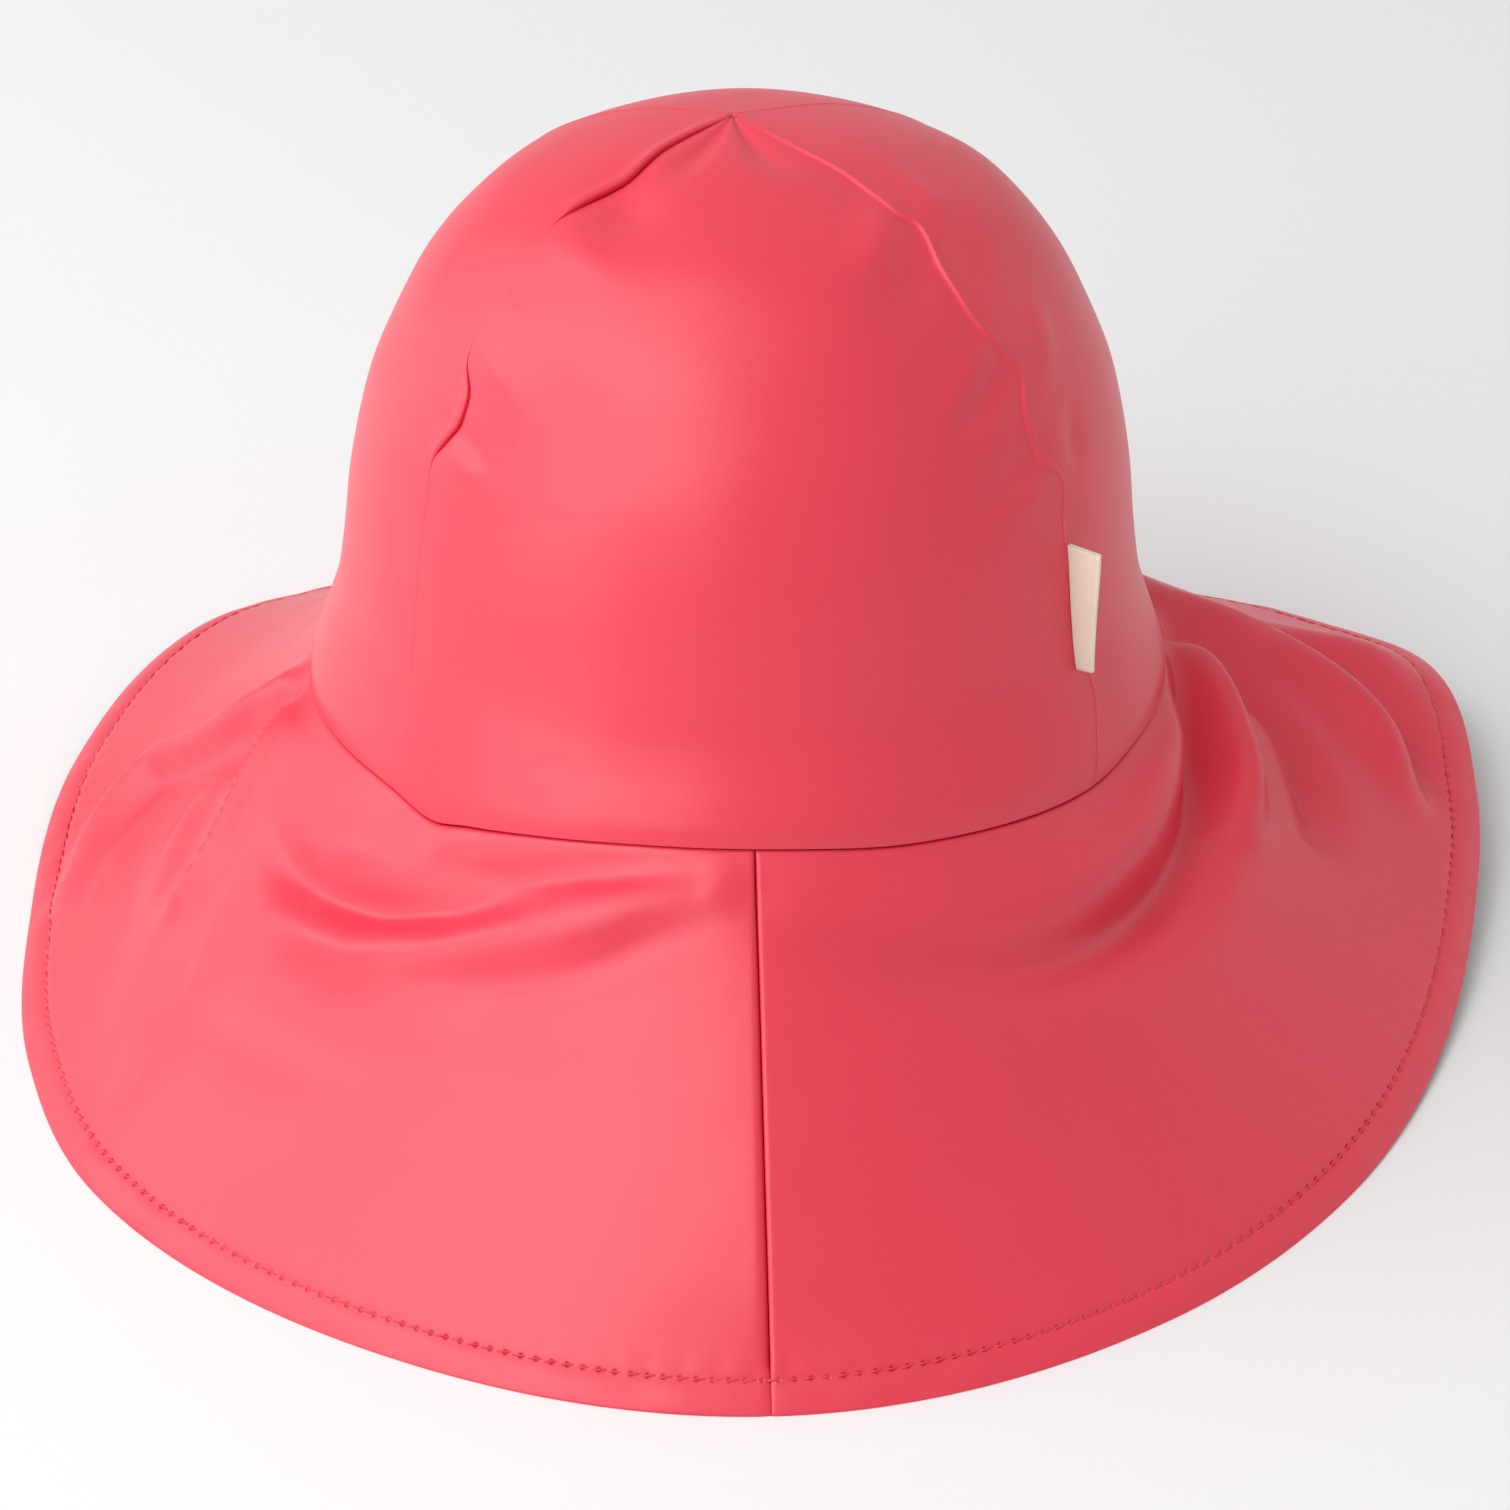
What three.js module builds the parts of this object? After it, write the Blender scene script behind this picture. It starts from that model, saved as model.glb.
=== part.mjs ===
// A child's rain hat of coated cloth, standing on the hem of its brim.
// Millimetres, +Z up. The back of the hat faces -Y, its face side +Y, the wearer's right +X.
// Four crown panels meet at the top. A sloping brim, closed by one seam at the back, hangs from them.
// Azimuth is in degrees round the crown's axis: 0 at the back, 90 at the wearer's right, 180 in front.
// A way runs from 0 to 1 along a section: up a crown panel, or down the brim from seam to hem.

import * as THREE from 'three';
import { mergeVertices } from 'three/addons/utils/BufferGeometryUtils.js';

// Driving dimensions
const crownWidth = 166;        // outside, across the seam that joins crown and brim
const crownLength = 177;       // outside, back to front, along the same seam
const crownHeight = 111.5;     // from that seam to the top, along the crown's axis
const crownWall = 1.2;         // coated cloth with its backing
const crownLean = 3;           // the top leans to the wearer's right
const crownTilt = 8;           // degrees that the crown's axis tips towards the face
const topShift = 3;            // the panels meet this far left of the crown's axis
const topShiftReach = 0.35;    // share of the crown's radius within which the top is drawn over
const topHole = 1.5;           // radius left open where the four panel tips meet
const dentDepth = 1.6;         // of the deepest pucker beside the crown's seams
const dentSize = 8;            // half width of a pucker

const seamHeight = 55;         // crown seam above the surface, at the crown's axis
const seamDip = 3.5;           // how far the crown seam hangs lower at the left back seam
const dipReach = 0.22;         // way up the crown within which the dip fades out
const seamGap = 0.3;           // between pieces that are sewn together

const brimHalfWidth = 141;     // crown axis to hem, at the side
const brimWall = 1.2;
const brimSag = 3;             // how far a section of the brim hangs below a straight line
const backSeamTurn = 1;        // degrees that the brim's seam lies left of the middle
const hemWidth = 7;            // turned under and stitched
const hemWall = 2;             // brim and turned edge together
const hemLift = 14;            // highest rise of the hem off the surface
const foldHeight = 4;          // tallest fold of the brim
const foldWidth = 10;          // reach of a fold whose width is 1
const crestRound = 1;          // radius of a creased fold's crest
const foldRise = 0.08;         // way below the crown seam at which folds reach their height
const foldFade = 0.25;         // way above the hem from which they fade out

const labelHeight = 25;        // folded ribbon, along the seam that holds it
const labelReach = 7;          // outwards from the seam
const labelThickness = 1;
const labelCentre = 0.33;      // way up the crown
const labelSweep = 1.5;        // its lower end lies over towards the wearer's right

// Shares of the named sizes, row by row
// Crown section: radius as a share of half the width or length, height as a share of crownHeight
const crownSection = [
  { radius: 1.000, height: 0.000 },
  { radius: 0.996, height: 0.035 },
  { radius: 0.977, height: 0.080 },
  { radius: 0.953, height: 0.130 },
  { radius: 0.930, height: 0.190 },
  { radius: 0.914, height: 0.280 },
  { radius: 0.900, height: 0.380 },
  { radius: 0.876, height: 0.480 },
  { radius: 0.842, height: 0.570 },
  { radius: 0.790, height: 0.660 },
  { radius: 0.728, height: 0.745 },
  { radius: 0.650, height: 0.820 },
  { radius: 0.550, height: 0.885 },
  { radius: 0.405, height: 0.938 },
  { radius: 0.230, height: 0.978 },
  { radius: 0.000, height: 1.000 },
];

// Where each crown seam runs, from the brim up to the top
const crownSeams = {
  leftBack: [
    { way: 0.00, azimuth: -47 },
    { way: 0.10, azimuth: -51 },
    { way: 0.25, azimuth: -54.5 },
    { way: 0.50, azimuth: -56 },
    { way: 0.58, azimuth: -53 },
    { way: 0.64, azimuth: -56.5 },
    { way: 0.82, azimuth: -55.5 },
    { way: 0.90, azimuth: -51 },
    { way: 1.00, azimuth: -52 },
  ],
  rightBack: [
    { way: 0.00, azimuth: 49.5 },
    { way: 0.20, azimuth: 53.5 },
    { way: 0.43, azimuth: 50 },
    { way: 0.48, azimuth: 51.5 },
    { way: 0.56, azimuth: 46.5 },
    { way: 0.62, azimuth: 48.5 },
    { way: 0.68, azimuth: 43 },
    { way: 0.77, azimuth: 42 },
    { way: 0.82, azimuth: 44.5 },
    { way: 0.86, azimuth: 41 },
    { way: 1.00, azimuth: 38 },
  ],
  rightFront: [
    { way: 0.00, azimuth: 128 },
    { way: 1.00, azimuth: 128 },
  ],
  leftFront: [
    { way: 0.00, azimuth: 232 },
    { way: 1.00, azimuth: 232 },
  ],
};

// Puckers of the crown: where they lie, depth as a share of dentDepth, size as a share of dentSize
const crownDents = [
  { azimuth: -42, way: 0.85, depth: 1.0, size: 0.9 },
  { azimuth: -29, way: 0.94, depth: 0.8, size: 0.6 },
  { azimuth: -46, way: 0.59, depth: 0.6, size: 0.9 },
  { azimuth: 15, way: 0.95, depth: 0.7, size: 0.6 },
  { azimuth: 34, way: 0.76, depth: 0.7, size: 0.9 },
  { azimuth: 39, way: 0.60, depth: 0.7, size: 0.8 },
  { azimuth: 42, way: 0.51, depth: 0.7, size: 0.8 },
];

// Seam between crown and brim: how far it hangs below its plane, as a share of seamDip
const seamLine = [
  { azimuth: -180, dip: 0.00 },
  { azimuth: -90, dip: 0.00 },
  { azimuth: -64, dip: 0.00 },
  { azimuth: -54, dip: 0.30 },
  { azimuth: -46.5, dip: 1.00 },
  { azimuth: -40, dip: 0.50 },
  { azimuth: -30, dip: -0.10 },
  { azimuth: -20, dip: -0.48 },
  { azimuth: -8, dip: -0.60 },
  { azimuth: 5, dip: -0.40 },
  { azimuth: 18, dip: 0.08 },
  { azimuth: 32, dip: 0.42 },
  { azimuth: 44, dip: 0.70 },
  { azimuth: 51, dip: 0.66 },
  { azimuth: 64, dip: 0.05 },
  { azimuth: 90, dip: 0.00 },
  { azimuth: 180, dip: 0.00 },
];

// Hem line: reach as a share of brimHalfWidth, lift as a share of hemLift
const hemLine = [
  { azimuth: -180, reach: 0.985, lift: 0.00 },
  { azimuth: -150, reach: 1.045, lift: 0.00 },
  { azimuth: -135, reach: 1.065, lift: 0.20 },
  { azimuth: -112, reach: 1.024, lift: 0.16 },
  { azimuth: -90, reach: 1.000, lift: 0.00 },
  { azimuth: -70, reach: 1.047, lift: 0.00 },
  { azimuth: -54, reach: 1.097, lift: 0.00 },
  { azimuth: -28, reach: 1.127, lift: 0.00 },
  { azimuth: 0, reach: 1.157, lift: 0.00 },
  { azimuth: 27, reach: 1.112, lift: 0.00 },
  { azimuth: 45, reach: 1.072, lift: 0.00 },
  { azimuth: 64, reach: 1.037, lift: 0.12 },
  { azimuth: 80, reach: 1.035, lift: 0.43 },
  { azimuth: 95, reach: 1.070, lift: 0.73 },
  { azimuth: 110, reach: 1.115, lift: 1.00 },
  { azimuth: 122, reach: 1.070, lift: 0.70 },
  { azimuth: 145, reach: 0.990, lift: 0.12 },
  { azimuth: 180, reach: 0.985, lift: 0.00 },
];

// Folds of the brim: height as a share of foldHeight, negative in a hollow, and width as a share of
// foldWidth. A creased fold has a sharp crest. Its line is a row of [azimuth, way, strength].
const brimFolds = [
  // Ridges and hollows at the left, fanning out from the crown
  {
    height: 0.90, width: 0.70, creased: false,
    line: [[-93, 0.02, 0.30], [-94, 0.23, 1], [-97, 0.42, 1], [-100, 0.60, 1], [-95, 0.78, 0.80],
      [-88, 0.90, 0.60]],
  },
  {
    height: 1.00, width: 0.60, creased: true,
    line: [[-86, 0.01, 0.30], [-80, 0.13, 0.90], [-75.5, 0.25, 1], [-71.5, 0.38, 0.90],
      [-70, 0.50, 0.50]],
  },
  {
    height: 0.45, width: 0.90, creased: false,
    line: [[-70, 0.50, 1], [-68, 0.61, 1], [-63, 0.72, 1], [-59, 0.86, 0.50]],
  },
  // The smile-shaped tuck left of the back seam: a roll, the tuck, its lip, and waves below it
  {
    height: 0.75, width: 0.60, creased: false,
    line: [[-61, 0.23, 0.30], [-55, 0.23, 0.90], [-49, 0.20, 1], [-43, 0.17, 1], [-37, 0.15, 1],
      [-31, 0.12, 0.40]],
  },
  {
    height: -0.95, width: 0.55, creased: true,
    line: [[-63, 0.31, 0.20], [-58, 0.32, 0.80], [-52, 0.30, 1], [-47, 0.26, 1], [-42, 0.23, 1],
      [-35.5, 0.21, 1], [-29.5, 0.17, 0.70], [-24.5, 0.14, 0.20]],
  },
  {
    height: 0.75, width: 0.60, creased: false,
    line: [[-55, 0.36, 0.50], [-49, 0.33, 0.80], [-43, 0.32, 1], [-37, 0.29, 1], [-30.5, 0.24, 1],
      [-25, 0.21, 1], [-18.5, 0.16, 1], [-13.5, 0.11, 0.90], [-6.5, 0.07, 0.70], [-1.5, 0.04, 0.30]],
  },
  {
    height: -0.65, width: 0.80, creased: false,
    line: [[-33.5, 0.33, 0.60], [-27, 0.31, 1], [-21, 0.27, 1], [-16, 0.21, 1], [-12, 0.17, 0.90],
      [-6.5, 0.12, 0.70], [-1.5, 0.07, 0.30]],
  },
  {
    height: -0.40, width: 0.90, creased: false,
    line: [[-60, 0.60, 0.40], [-51.5, 0.55, 1], [-45, 0.53, 1], [-39, 0.51, 1], [-32, 0.47, 1],
      [-25, 0.43, 0.80], [-19, 0.40, 0.30]],
  },
  // The back seam stands up a little, like the ridge of a roof
  {
    height: 1.00, width: 3.00, creased: true,
    line: [[0, 0.06, 0.20], [0, 0.30, 0.90], [0, 0.70, 1], [0, 0.97, 0.20]],
  },
  // The deep crescent right of it, with a roll above, and the folds at the right
  {
    height: 0.75, width: 0.70, creased: false,
    line: [[84, 0.02, 0.30], [76, 0.03, 0.80], [66.5, 0.05, 1], [58, 0.09, 1], [51, 0.12, 1],
      [42.5, 0.14, 1], [35, 0.16, 1], [26.5, 0.16, 0.80], [16.5, 0.11, 0.50], [5, 0.07, 0.30]],
  },
  {
    height: -1.40, width: 0.70, creased: false,
    line: [[1.5, 0.10, 0.15], [14.5, 0.19, 0.40], [24, 0.25, 0.50], [32.5, 0.29, 0.70],
      [40, 0.30, 0.80], [49, 0.30, 1], [57, 0.30, 1], [64.5, 0.29, 1], [71.5, 0.27, 1],
      [76, 0.23, 1], [81, 0.17, 0.90], [86, 0.10, 0.60], [93, 0.05, 0.30]],
  },
  {
    height: 0.90, width: 0.55, creased: false,
    line: [[98, 0.06, 0.40], [92, 0.14, 1], [86, 0.20, 1], [80, 0.27, 1], [75, 0.33, 0.90],
      [69, 0.38, 0.40]],
  },
  {
    height: -0.50, width: 0.70, creased: false,
    line: [[99, 0.10, 0.60], [96, 0.30, 1], [91.5, 0.43, 1], [85, 0.50, 1], [78, 0.53, 0.40]],
  },
  {
    height: 0.90, width: 0.80, creased: false,
    line: [[108, 0.05, 0.50], [105, 0.25, 1], [103.5, 0.43, 1], [100.5, 0.58, 1], [96, 0.70, 1],
      [91, 0.81, 0.50]],
  },
  {
    height: -0.60, width: 0.90, creased: false,
    line: [[110, 0.45, 0.50], [109, 0.61, 1], [105, 0.72, 1], [99, 0.81, 1], [92, 0.85, 0.50]],
  },
  {
    height: 0.80, width: 1.00, creased: false,
    line: [[113, 0.05, 1], [112, 0.40, 1], [110, 0.85, 1]],
  },
];

// Crown panels between neighbouring seams
const crownPanels = [
  { name: 'crown_back_panel', from: 'leftBack', to: 'rightBack' },
  { name: 'crown_right_panel', from: 'rightBack', to: 'rightFront' },
  { name: 'crown_front_panel', from: 'rightFront', to: 'leftFront' },
  { name: 'crown_left_panel', from: 'leftFront', to: 'leftBack' },
];
const labelSeam = 'rightBack';

// Finishes
const coatedCloth = new THREE.MeshStandardMaterial({ color: 0xe24152, roughness: 0.42, metalness: 0 });
const creamRibbon = new THREE.MeshStandardMaterial({ color: 0xf1e6d2, roughness: 0.85, metalness: 0 });

// How fine the shells are
const panelColumns = 13;
const panelRows = 20;
const brimColumns = 92;
const brimCrowding = 0.35;     // how much closer than even the brim's columns lie at the back
const brimRows = 14;
const hemRows = 3;
const lineSteps = 4;           // pieces of a fold's line between two of its rows

const toRadians = THREE.MathUtils.degToRad;
const clamp = THREE.MathUtils.clamp;
const lerp = THREE.MathUtils.lerp;

// A smooth curve through the rows of a table at uneven places, read from its column y. period is
// the length of a closed one.
function through(table, place, x, y, period = 0) {
  const last = table.length - 1;
  const slope = (k) => {
    const first = period > 0 && k === 0;
    const final = period > 0 && k === last;
    const before = first ? table[last - 1] : table[Math.max(k - 1, 0)];
    const after = final ? table[1] : table[Math.min(k + 1, last)];
    const run = after[x] - before[x] + (first || final ? period : 0);
    return (after[y] - before[y]) / run;
  };
  const next = table.findIndex((row) => row[x] > place);
  const i = next < 0 ? last - 1 : Math.max(next - 1, 0);
  const start = table[i];
  const end = table[i + 1];
  const width = end[x] - start[x];
  const t = clamp((place - start[x]) / width, 0, 1);
  return start[y] * (2 * t ** 3 - 3 * t ** 2 + 1) + end[y] * (3 * t ** 2 - 2 * t ** 3)
    + width * slope(i) * (t ** 3 - 2 * t ** 2 + t) + width * slope(i + 1) * (t ** 3 - t ** 2);
}

const wrap = (azimuth) => THREE.MathUtils.euclideanModulo(azimuth + 180, 360) - 180;
const dipAt = (azimuth) => seamDip * through(seamLine, wrap(azimuth), 'azimuth', 'dip', 360);
const seamAzimuth = (seam, way) => through(crownSeams[seam], way, 'way', 'azimuth');

// Crown

const sectionCurve = new THREE.SplineCurve(
  crownSection.map((row) => new THREE.Vector2(row.radius, row.height)),
);

// Depth of all the puckers together at a place of the crown
function dentAt(azimuth, way) {
  let depth = 0;
  for (const dent of crownDents) {
    const radius = (crownWidth / 2) * sectionCurve.getPoint(dent.way).x;
    const across = toRadians(wrap(azimuth - dent.azimuth)) * radius;
    const along = (way - dent.way) * (crownHeight + crownWidth / 4);
    const size = dentSize * dent.size;
    depth += dentDepth * dent.depth * Math.exp(-(across ** 2 + along ** 2) / size ** 2);
  }
  return depth;
}

// From the crown's own axes, with its seam in the plane z = 0, to those of the hat
function tipForward(point) {
  return point.applyAxisAngle(new THREE.Vector3(1, 0, 0), -toRadians(crownTilt)).setZ(point.z + seamHeight);
}

// A point of the crown, a depth below its outer face
function crownPoint(azimuth, way, depth) {
  const section = sectionCurve.getPoint(way);
  const angle = toRadians(azimuth);
  const sunk = depth + dentAt(azimuth, way);
  const shift = crownLean * section.y ** 1.5 - topShift * Math.exp(-((section.x / topShiftReach) ** 2));
  const dip = dipAt(azimuth) * clamp(1 - way / dipReach, 0, 1) ** 2;
  const x = (crownWidth / 2 - sunk) * section.x * Math.sin(angle) + shift;
  const y = -(crownLength / 2 - sunk) * section.x * Math.cos(angle);
  return tipForward(new THREE.Vector3(x, y, (crownHeight - sunk) * section.y - dip));
}

// The way at which the crown has narrowed to the small hole at its top
function findTopWay() {
  let low = 0.5;
  let high = 1;
  for (let step = 0; step < 30; step += 1) {
    const middle = (low + high) / 2;
    if (sectionCurve.getPoint(middle).x * (crownWidth / 2) > topHole) low = middle;
    else high = middle;
  }
  return low;
}
const topWay = findTopWay();

// A closed wall: a box whose width, height and depth run along, up and through the cloth
function bentWall(columns, rows, place) {
  const box = new THREE.BoxGeometry(1, 1, 1, columns, rows, 1);
  box.deleteAttribute('normal');
  box.deleteAttribute('uv');
  const wall = mergeVertices(box);
  const position = wall.getAttribute('position');
  for (let i = 0; i < position.count; i += 1) {
    const point = place(position.getX(i) + 0.5, position.getY(i) + 0.5, position.getZ(i) + 0.5);
    position.setXYZ(i, point.x, point.y, point.z);
  }
  wall.computeVertexNormals();
  return wall;
}

function crownPanel({ name, from, to }) {
  const wall = bentWall(panelColumns, panelRows, (along, up, depth) => {
    const way = up * topWay;
    const radius = sectionCurve.getPoint(way).x * (crownWidth / 2);
    const margin = THREE.MathUtils.radToDeg(seamGap / 2 / radius);
    const start = seamAzimuth(from, way) + margin;
    const turn = THREE.MathUtils.euclideanModulo(seamAzimuth(to, way) - margin - start, 360);
    return crownPoint(start + turn * along, way, (1 - depth) * crownWall);
  });
  const mesh = new THREE.Mesh(wall, coatedCloth);
  mesh.name = name;
  return mesh;
}

// Brim

// A place of the brim on a flat plan, where the slope is laid out at its full length
const slopeLength = Math.hypot(brimHalfWidth - crownWidth / 2, seamHeight);
function planPoint(azimuth, way) {
  const radius = crownWidth / 2 + way * slopeLength;
  return new THREE.Vector3(Math.sin(toRadians(azimuth)) * radius, -Math.cos(toRadians(azimuth)) * radius, 0);
}

// The line of a fold as a chain of short straight pieces with a strength at both ends
function foldPieces(fold) {
  const curve = new THREE.CatmullRomCurve3(
    fold.line.map(([azimuth, way, strength]) => new THREE.Vector3(azimuth, way, strength)),
    false,
    'catmullrom',
  );
  const steps = lineSteps * (fold.line.length - 1);
  const rows = curve.getPoints(steps);
  return rows.slice(1).map((row, k) => ({
    line: new THREE.Line3(planPoint(rows[k].x, rows[k].y), planPoint(row.x, row.y)),
    strength: [rows[k].z, row.z],
  }));
}
const foldLines = brimFolds.map((fold) => ({ ...fold, pieces: foldPieces(fold) }));

// Height of all the folds together, nothing at the seam and at the hem
function foldAt(azimuth, way) {
  const place = planPoint(azimuth, way);
  let total = 0;
  for (const { height, width, creased, pieces } of foldLines) {
    let near = Infinity;
    let strength = 0;
    for (const piece of pieces) {
      const share = piece.line.closestPointToPointParameter(place, true);
      const distance = piece.line.at(share, new THREE.Vector3()).distanceTo(place);
      if (distance < near) {
        near = distance;
        strength = lerp(...piece.strength, share);
      }
    }
    const reach = width * foldWidth;
    const beyondCrest = Math.hypot(near, crestRound) - crestRound;
    const shape = creased ? Math.exp(-beyondCrest / reach) : Math.exp(-((near / reach) ** 2));
    total += height * foldHeight * strength * shape;
  }
  return total * clamp(way / foldRise, 0, 1) * THREE.MathUtils.smoothstep(1 - way, 0, foldFade);
}

// The brim is turned a little at the back, not at the face
function turnedAzimuth(azimuth) {
  return azimuth - backSeamTurn * Math.cos(toRadians(azimuth) / 2) ** 4;
}

// The line of the brim's seam end, at the middle of the wall
function brimTop(azimuth) {
  const turned = turnedAzimuth(azimuth);
  const angle = toRadians(turned);
  const x = (crownWidth / 2 - brimWall / 2) * Math.sin(angle);
  const y = -(crownLength / 2 - brimWall / 2) * Math.cos(angle);
  return tipForward(new THREE.Vector3(x, y, -seamGap - dipAt(turned)));
}

// The hem line, at the middle of the wall
function brimBottom(azimuth) {
  const turned = turnedAzimuth(azimuth);
  const reach = brimHalfWidth * through(hemLine, turned, 'azimuth', 'reach', 360);
  const lift = Math.max(0, hemLift * through(hemLine, turned, 'azimuth', 'lift', 360));
  const angle = toRadians(turned);
  return new THREE.Vector3(reach * Math.sin(angle), -reach * Math.cos(angle), lift);
}

// The middle of the wall: a straight slope, sagging, with its folds
function brimMiddle(azimuth, way) {
  const top = brimTop(azimuth);
  const slope = brimBottom(azimuth).sub(top);
  const level = Math.hypot(slope.x, slope.y);
  const normal = new THREE.Vector3(-slope.x * slope.z / level, -slope.y * slope.z / level, level);
  normal.divideScalar(slope.length());
  const rise = foldAt(azimuth, way) - brimSag * Math.sin(Math.PI * way);
  return top.addScaledVector(slope, way).addScaledVector(normal, rise);
}

// The direction through the cloth: level at both ends, square to the cloth between them
function throughBrim(azimuth, way, hemWay) {
  const step = 0.01;
  const here = brimMiddle(azimuth, way);
  const beside = brimMiddle(azimuth + 10 * step, way).sub(here);
  const above = brimMiddle(azimuth, way - step).sub(here);
  const normal = beside.cross(above).normalize();
  const angle = toRadians(azimuth);
  const level = new THREE.Vector3(Math.sin(angle), -Math.cos(angle), 0);
  const square = Math.min(clamp(way / 0.06, 0, 1), clamp((1 - way) / (1 - hemWay), 0, 1));
  return level.lerp(normal, square).normalize();
}

function brim() {
  const rows = brimRows + hemRows;
  const wall = bentWall(brimColumns, rows, (along, up, depth) => {
    const margin = THREE.MathUtils.radToDeg(seamGap / 2 / (crownLength / 2));
    const crowded = along - (brimCrowding * Math.sin(2 * Math.PI * along)) / (2 * Math.PI);
    const wrapped = wrap(lerp(margin, 360 - margin, crowded));
    const length = brimBottom(wrapped).distanceTo(brimTop(wrapped));
    const hemWay = 1 - hemWidth / length;
    const stepWay = 1 - (hemWidth - hemWall / 2) / length;
    const row = Math.round((1 - up) * rows);
    const hemEnds = [stepWay, (stepWay + 1) / 2, 1];
    const way = row <= brimRows ? hemWay * (row / brimRows) : hemEnds[row - brimRows - 1];
    const under = row > brimRows ? hemWall - brimWall : 0;
    const out = depth > 0.5 ? brimWall / 2 : -brimWall / 2 - under;
    return brimMiddle(wrapped, way).addScaledVector(throughBrim(wrapped, way, hemWay), out);
  });
  const mesh = new THREE.Mesh(wall, coatedCloth);
  mesh.name = 'brim';
  return mesh;
}

// Side label: a bare ribbon folded over, standing out of the seam at the wearer's right

function sideLabel() {
  const probe = 0.01;
  const azimuth = seamAzimuth(labelSeam, labelCentre);
  const above = crownPoint(azimuth, labelCentre + probe, 0);
  const below = crownPoint(azimuth, labelCentre - probe, 0);
  const wayPerMillimetre = (2 * probe) / above.distanceTo(below);
  const angle = toRadians(azimuth);
  const outwards = new THREE.Vector3(Math.sin(angle), -Math.cos(angle), 0);
  const sideways = new THREE.Vector3(Math.cos(angle), Math.sin(angle), 0);
  const wall = bentWall(4, 8, (across, up, out) => {
    const way = labelCentre + (up - 0.5) * labelHeight * wayPerMillimetre;
    const sweep = labelSweep * (1 - up) * out;
    return crownPoint(seamAzimuth(labelSeam, way), way, -seamGap)
      .addScaledVector(outwards, out * labelReach)
      .addScaledVector(sideways, (across - 0.5) * labelThickness + sweep);
  });
  const mesh = new THREE.Mesh(wall, creamRibbon);
  mesh.name = 'side_label';
  return mesh;
}

// The hat, with the middle of its footprint on the origin

const hat = new THREE.Group();
for (const panel of crownPanels) hat.add(crownPanel(panel));
hat.add(brim());
hat.add(sideLabel());

const bounds = new THREE.Box3().setFromObject(hat, true);
const middle = bounds.getCenter(new THREE.Vector3());
hat.position.set(-middle.x, -middle.y, -bounds.min.z);

export default hat;
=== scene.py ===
# %% [markdown]
# A child's rain hat, seen from behind. It is sewn from smooth coated cloth: four crown panels that
# meet at the top, and one wide brim whose hem is turned under and stitched. The frame holds the
# hat's solids at their real size. Each cloth piece here is made in the place of one solid and
# replaces it, because a solid's few faces can't carry the groove of a seam or a soft fold.

# %% The frame and what later cells need
import math

import bpy
import numpy as np
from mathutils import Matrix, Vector


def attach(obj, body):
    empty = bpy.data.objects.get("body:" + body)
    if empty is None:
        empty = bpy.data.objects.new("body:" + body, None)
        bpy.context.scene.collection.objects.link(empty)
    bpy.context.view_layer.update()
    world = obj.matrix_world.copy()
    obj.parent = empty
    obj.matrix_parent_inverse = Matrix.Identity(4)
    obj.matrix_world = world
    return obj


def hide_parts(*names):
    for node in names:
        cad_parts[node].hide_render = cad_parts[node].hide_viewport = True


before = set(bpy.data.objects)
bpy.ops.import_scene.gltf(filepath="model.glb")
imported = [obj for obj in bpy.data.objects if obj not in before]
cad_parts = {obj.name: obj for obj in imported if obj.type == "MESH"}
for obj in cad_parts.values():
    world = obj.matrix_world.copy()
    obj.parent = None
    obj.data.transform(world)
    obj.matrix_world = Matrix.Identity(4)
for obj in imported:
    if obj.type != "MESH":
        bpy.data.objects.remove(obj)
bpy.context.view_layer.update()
MM = 0.001


def add_object(name, data):
    """An object in the scene, at the origin, with its place in its data."""
    made = bpy.data.objects.new(name, data)
    bpy.context.scene.collection.objects.link(made)
    return made


# %% [markdown]
# Cloth has no corners to measure from, so its shape is kept as rules: short tables of rows, with
# smooth curves through them. A sculpted mesh could hold the same folds, but a table can be read and
# changed row by row. The crown's section is a spline through evenly counted rows. The hem line and
# the seams are curves through rows at uneven places. Azimuth is in degrees: 0 at the back, 90 at
# the wearer's right, 180 in front.


# %% Curves through the tables
def spline(rows, t):
    """A point of the spline through evenly counted rows, for t from 0 to 1."""
    rows = np.asarray(rows, float)
    last = len(rows) - 1
    x = np.clip(t, 0, 1) * last
    i = np.minimum(x.astype(int), last - 1)
    f = (x - i)[..., None]
    a, b, c, d = rows[np.maximum(i - 1, 0)], rows[i], rows[i + 1], rows[np.minimum(i + 2, last)]
    v, w = (c - a) / 2, (d - b) / 2
    return (2 * b - 2 * c + v + w) * f ** 3 + (3 * c - 3 * b - 2 * v - w) * f ** 2 + v * f + b


def through(rows, x, column=1, turn=None):
    """A smooth curve through rows at uneven places. turn is the period of a closed one."""
    rows = np.asarray(rows, float)
    at, y = rows[:, 0], rows[:, column]
    slope = np.empty(len(at))
    slope[1:-1] = (y[2:] - y[:-2]) / (at[2:] - at[:-2])
    if turn:
        slope[0] = slope[-1] = (y[1] - y[-2]) / (at[1] - at[-2] + turn)
    else:
        slope[0] = (y[1] - y[0]) / (at[1] - at[0])
        slope[-1] = (y[-1] - y[-2]) / (at[-1] - at[-2])
    i = np.clip(np.searchsorted(at, x, side="right") - 1, 0, len(at) - 2)
    h = at[i + 1] - at[i]
    f = np.clip((x - at[i]) / h, 0, 1)
    return (y[i] * (2 * f ** 3 - 3 * f ** 2 + 1) + y[i + 1] * (3 * f ** 2 - 2 * f ** 3)
            + h * slope[i] * (f ** 3 - 2 * f ** 2 + f) + h * slope[i + 1] * (f ** 3 - f ** 2))


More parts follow.
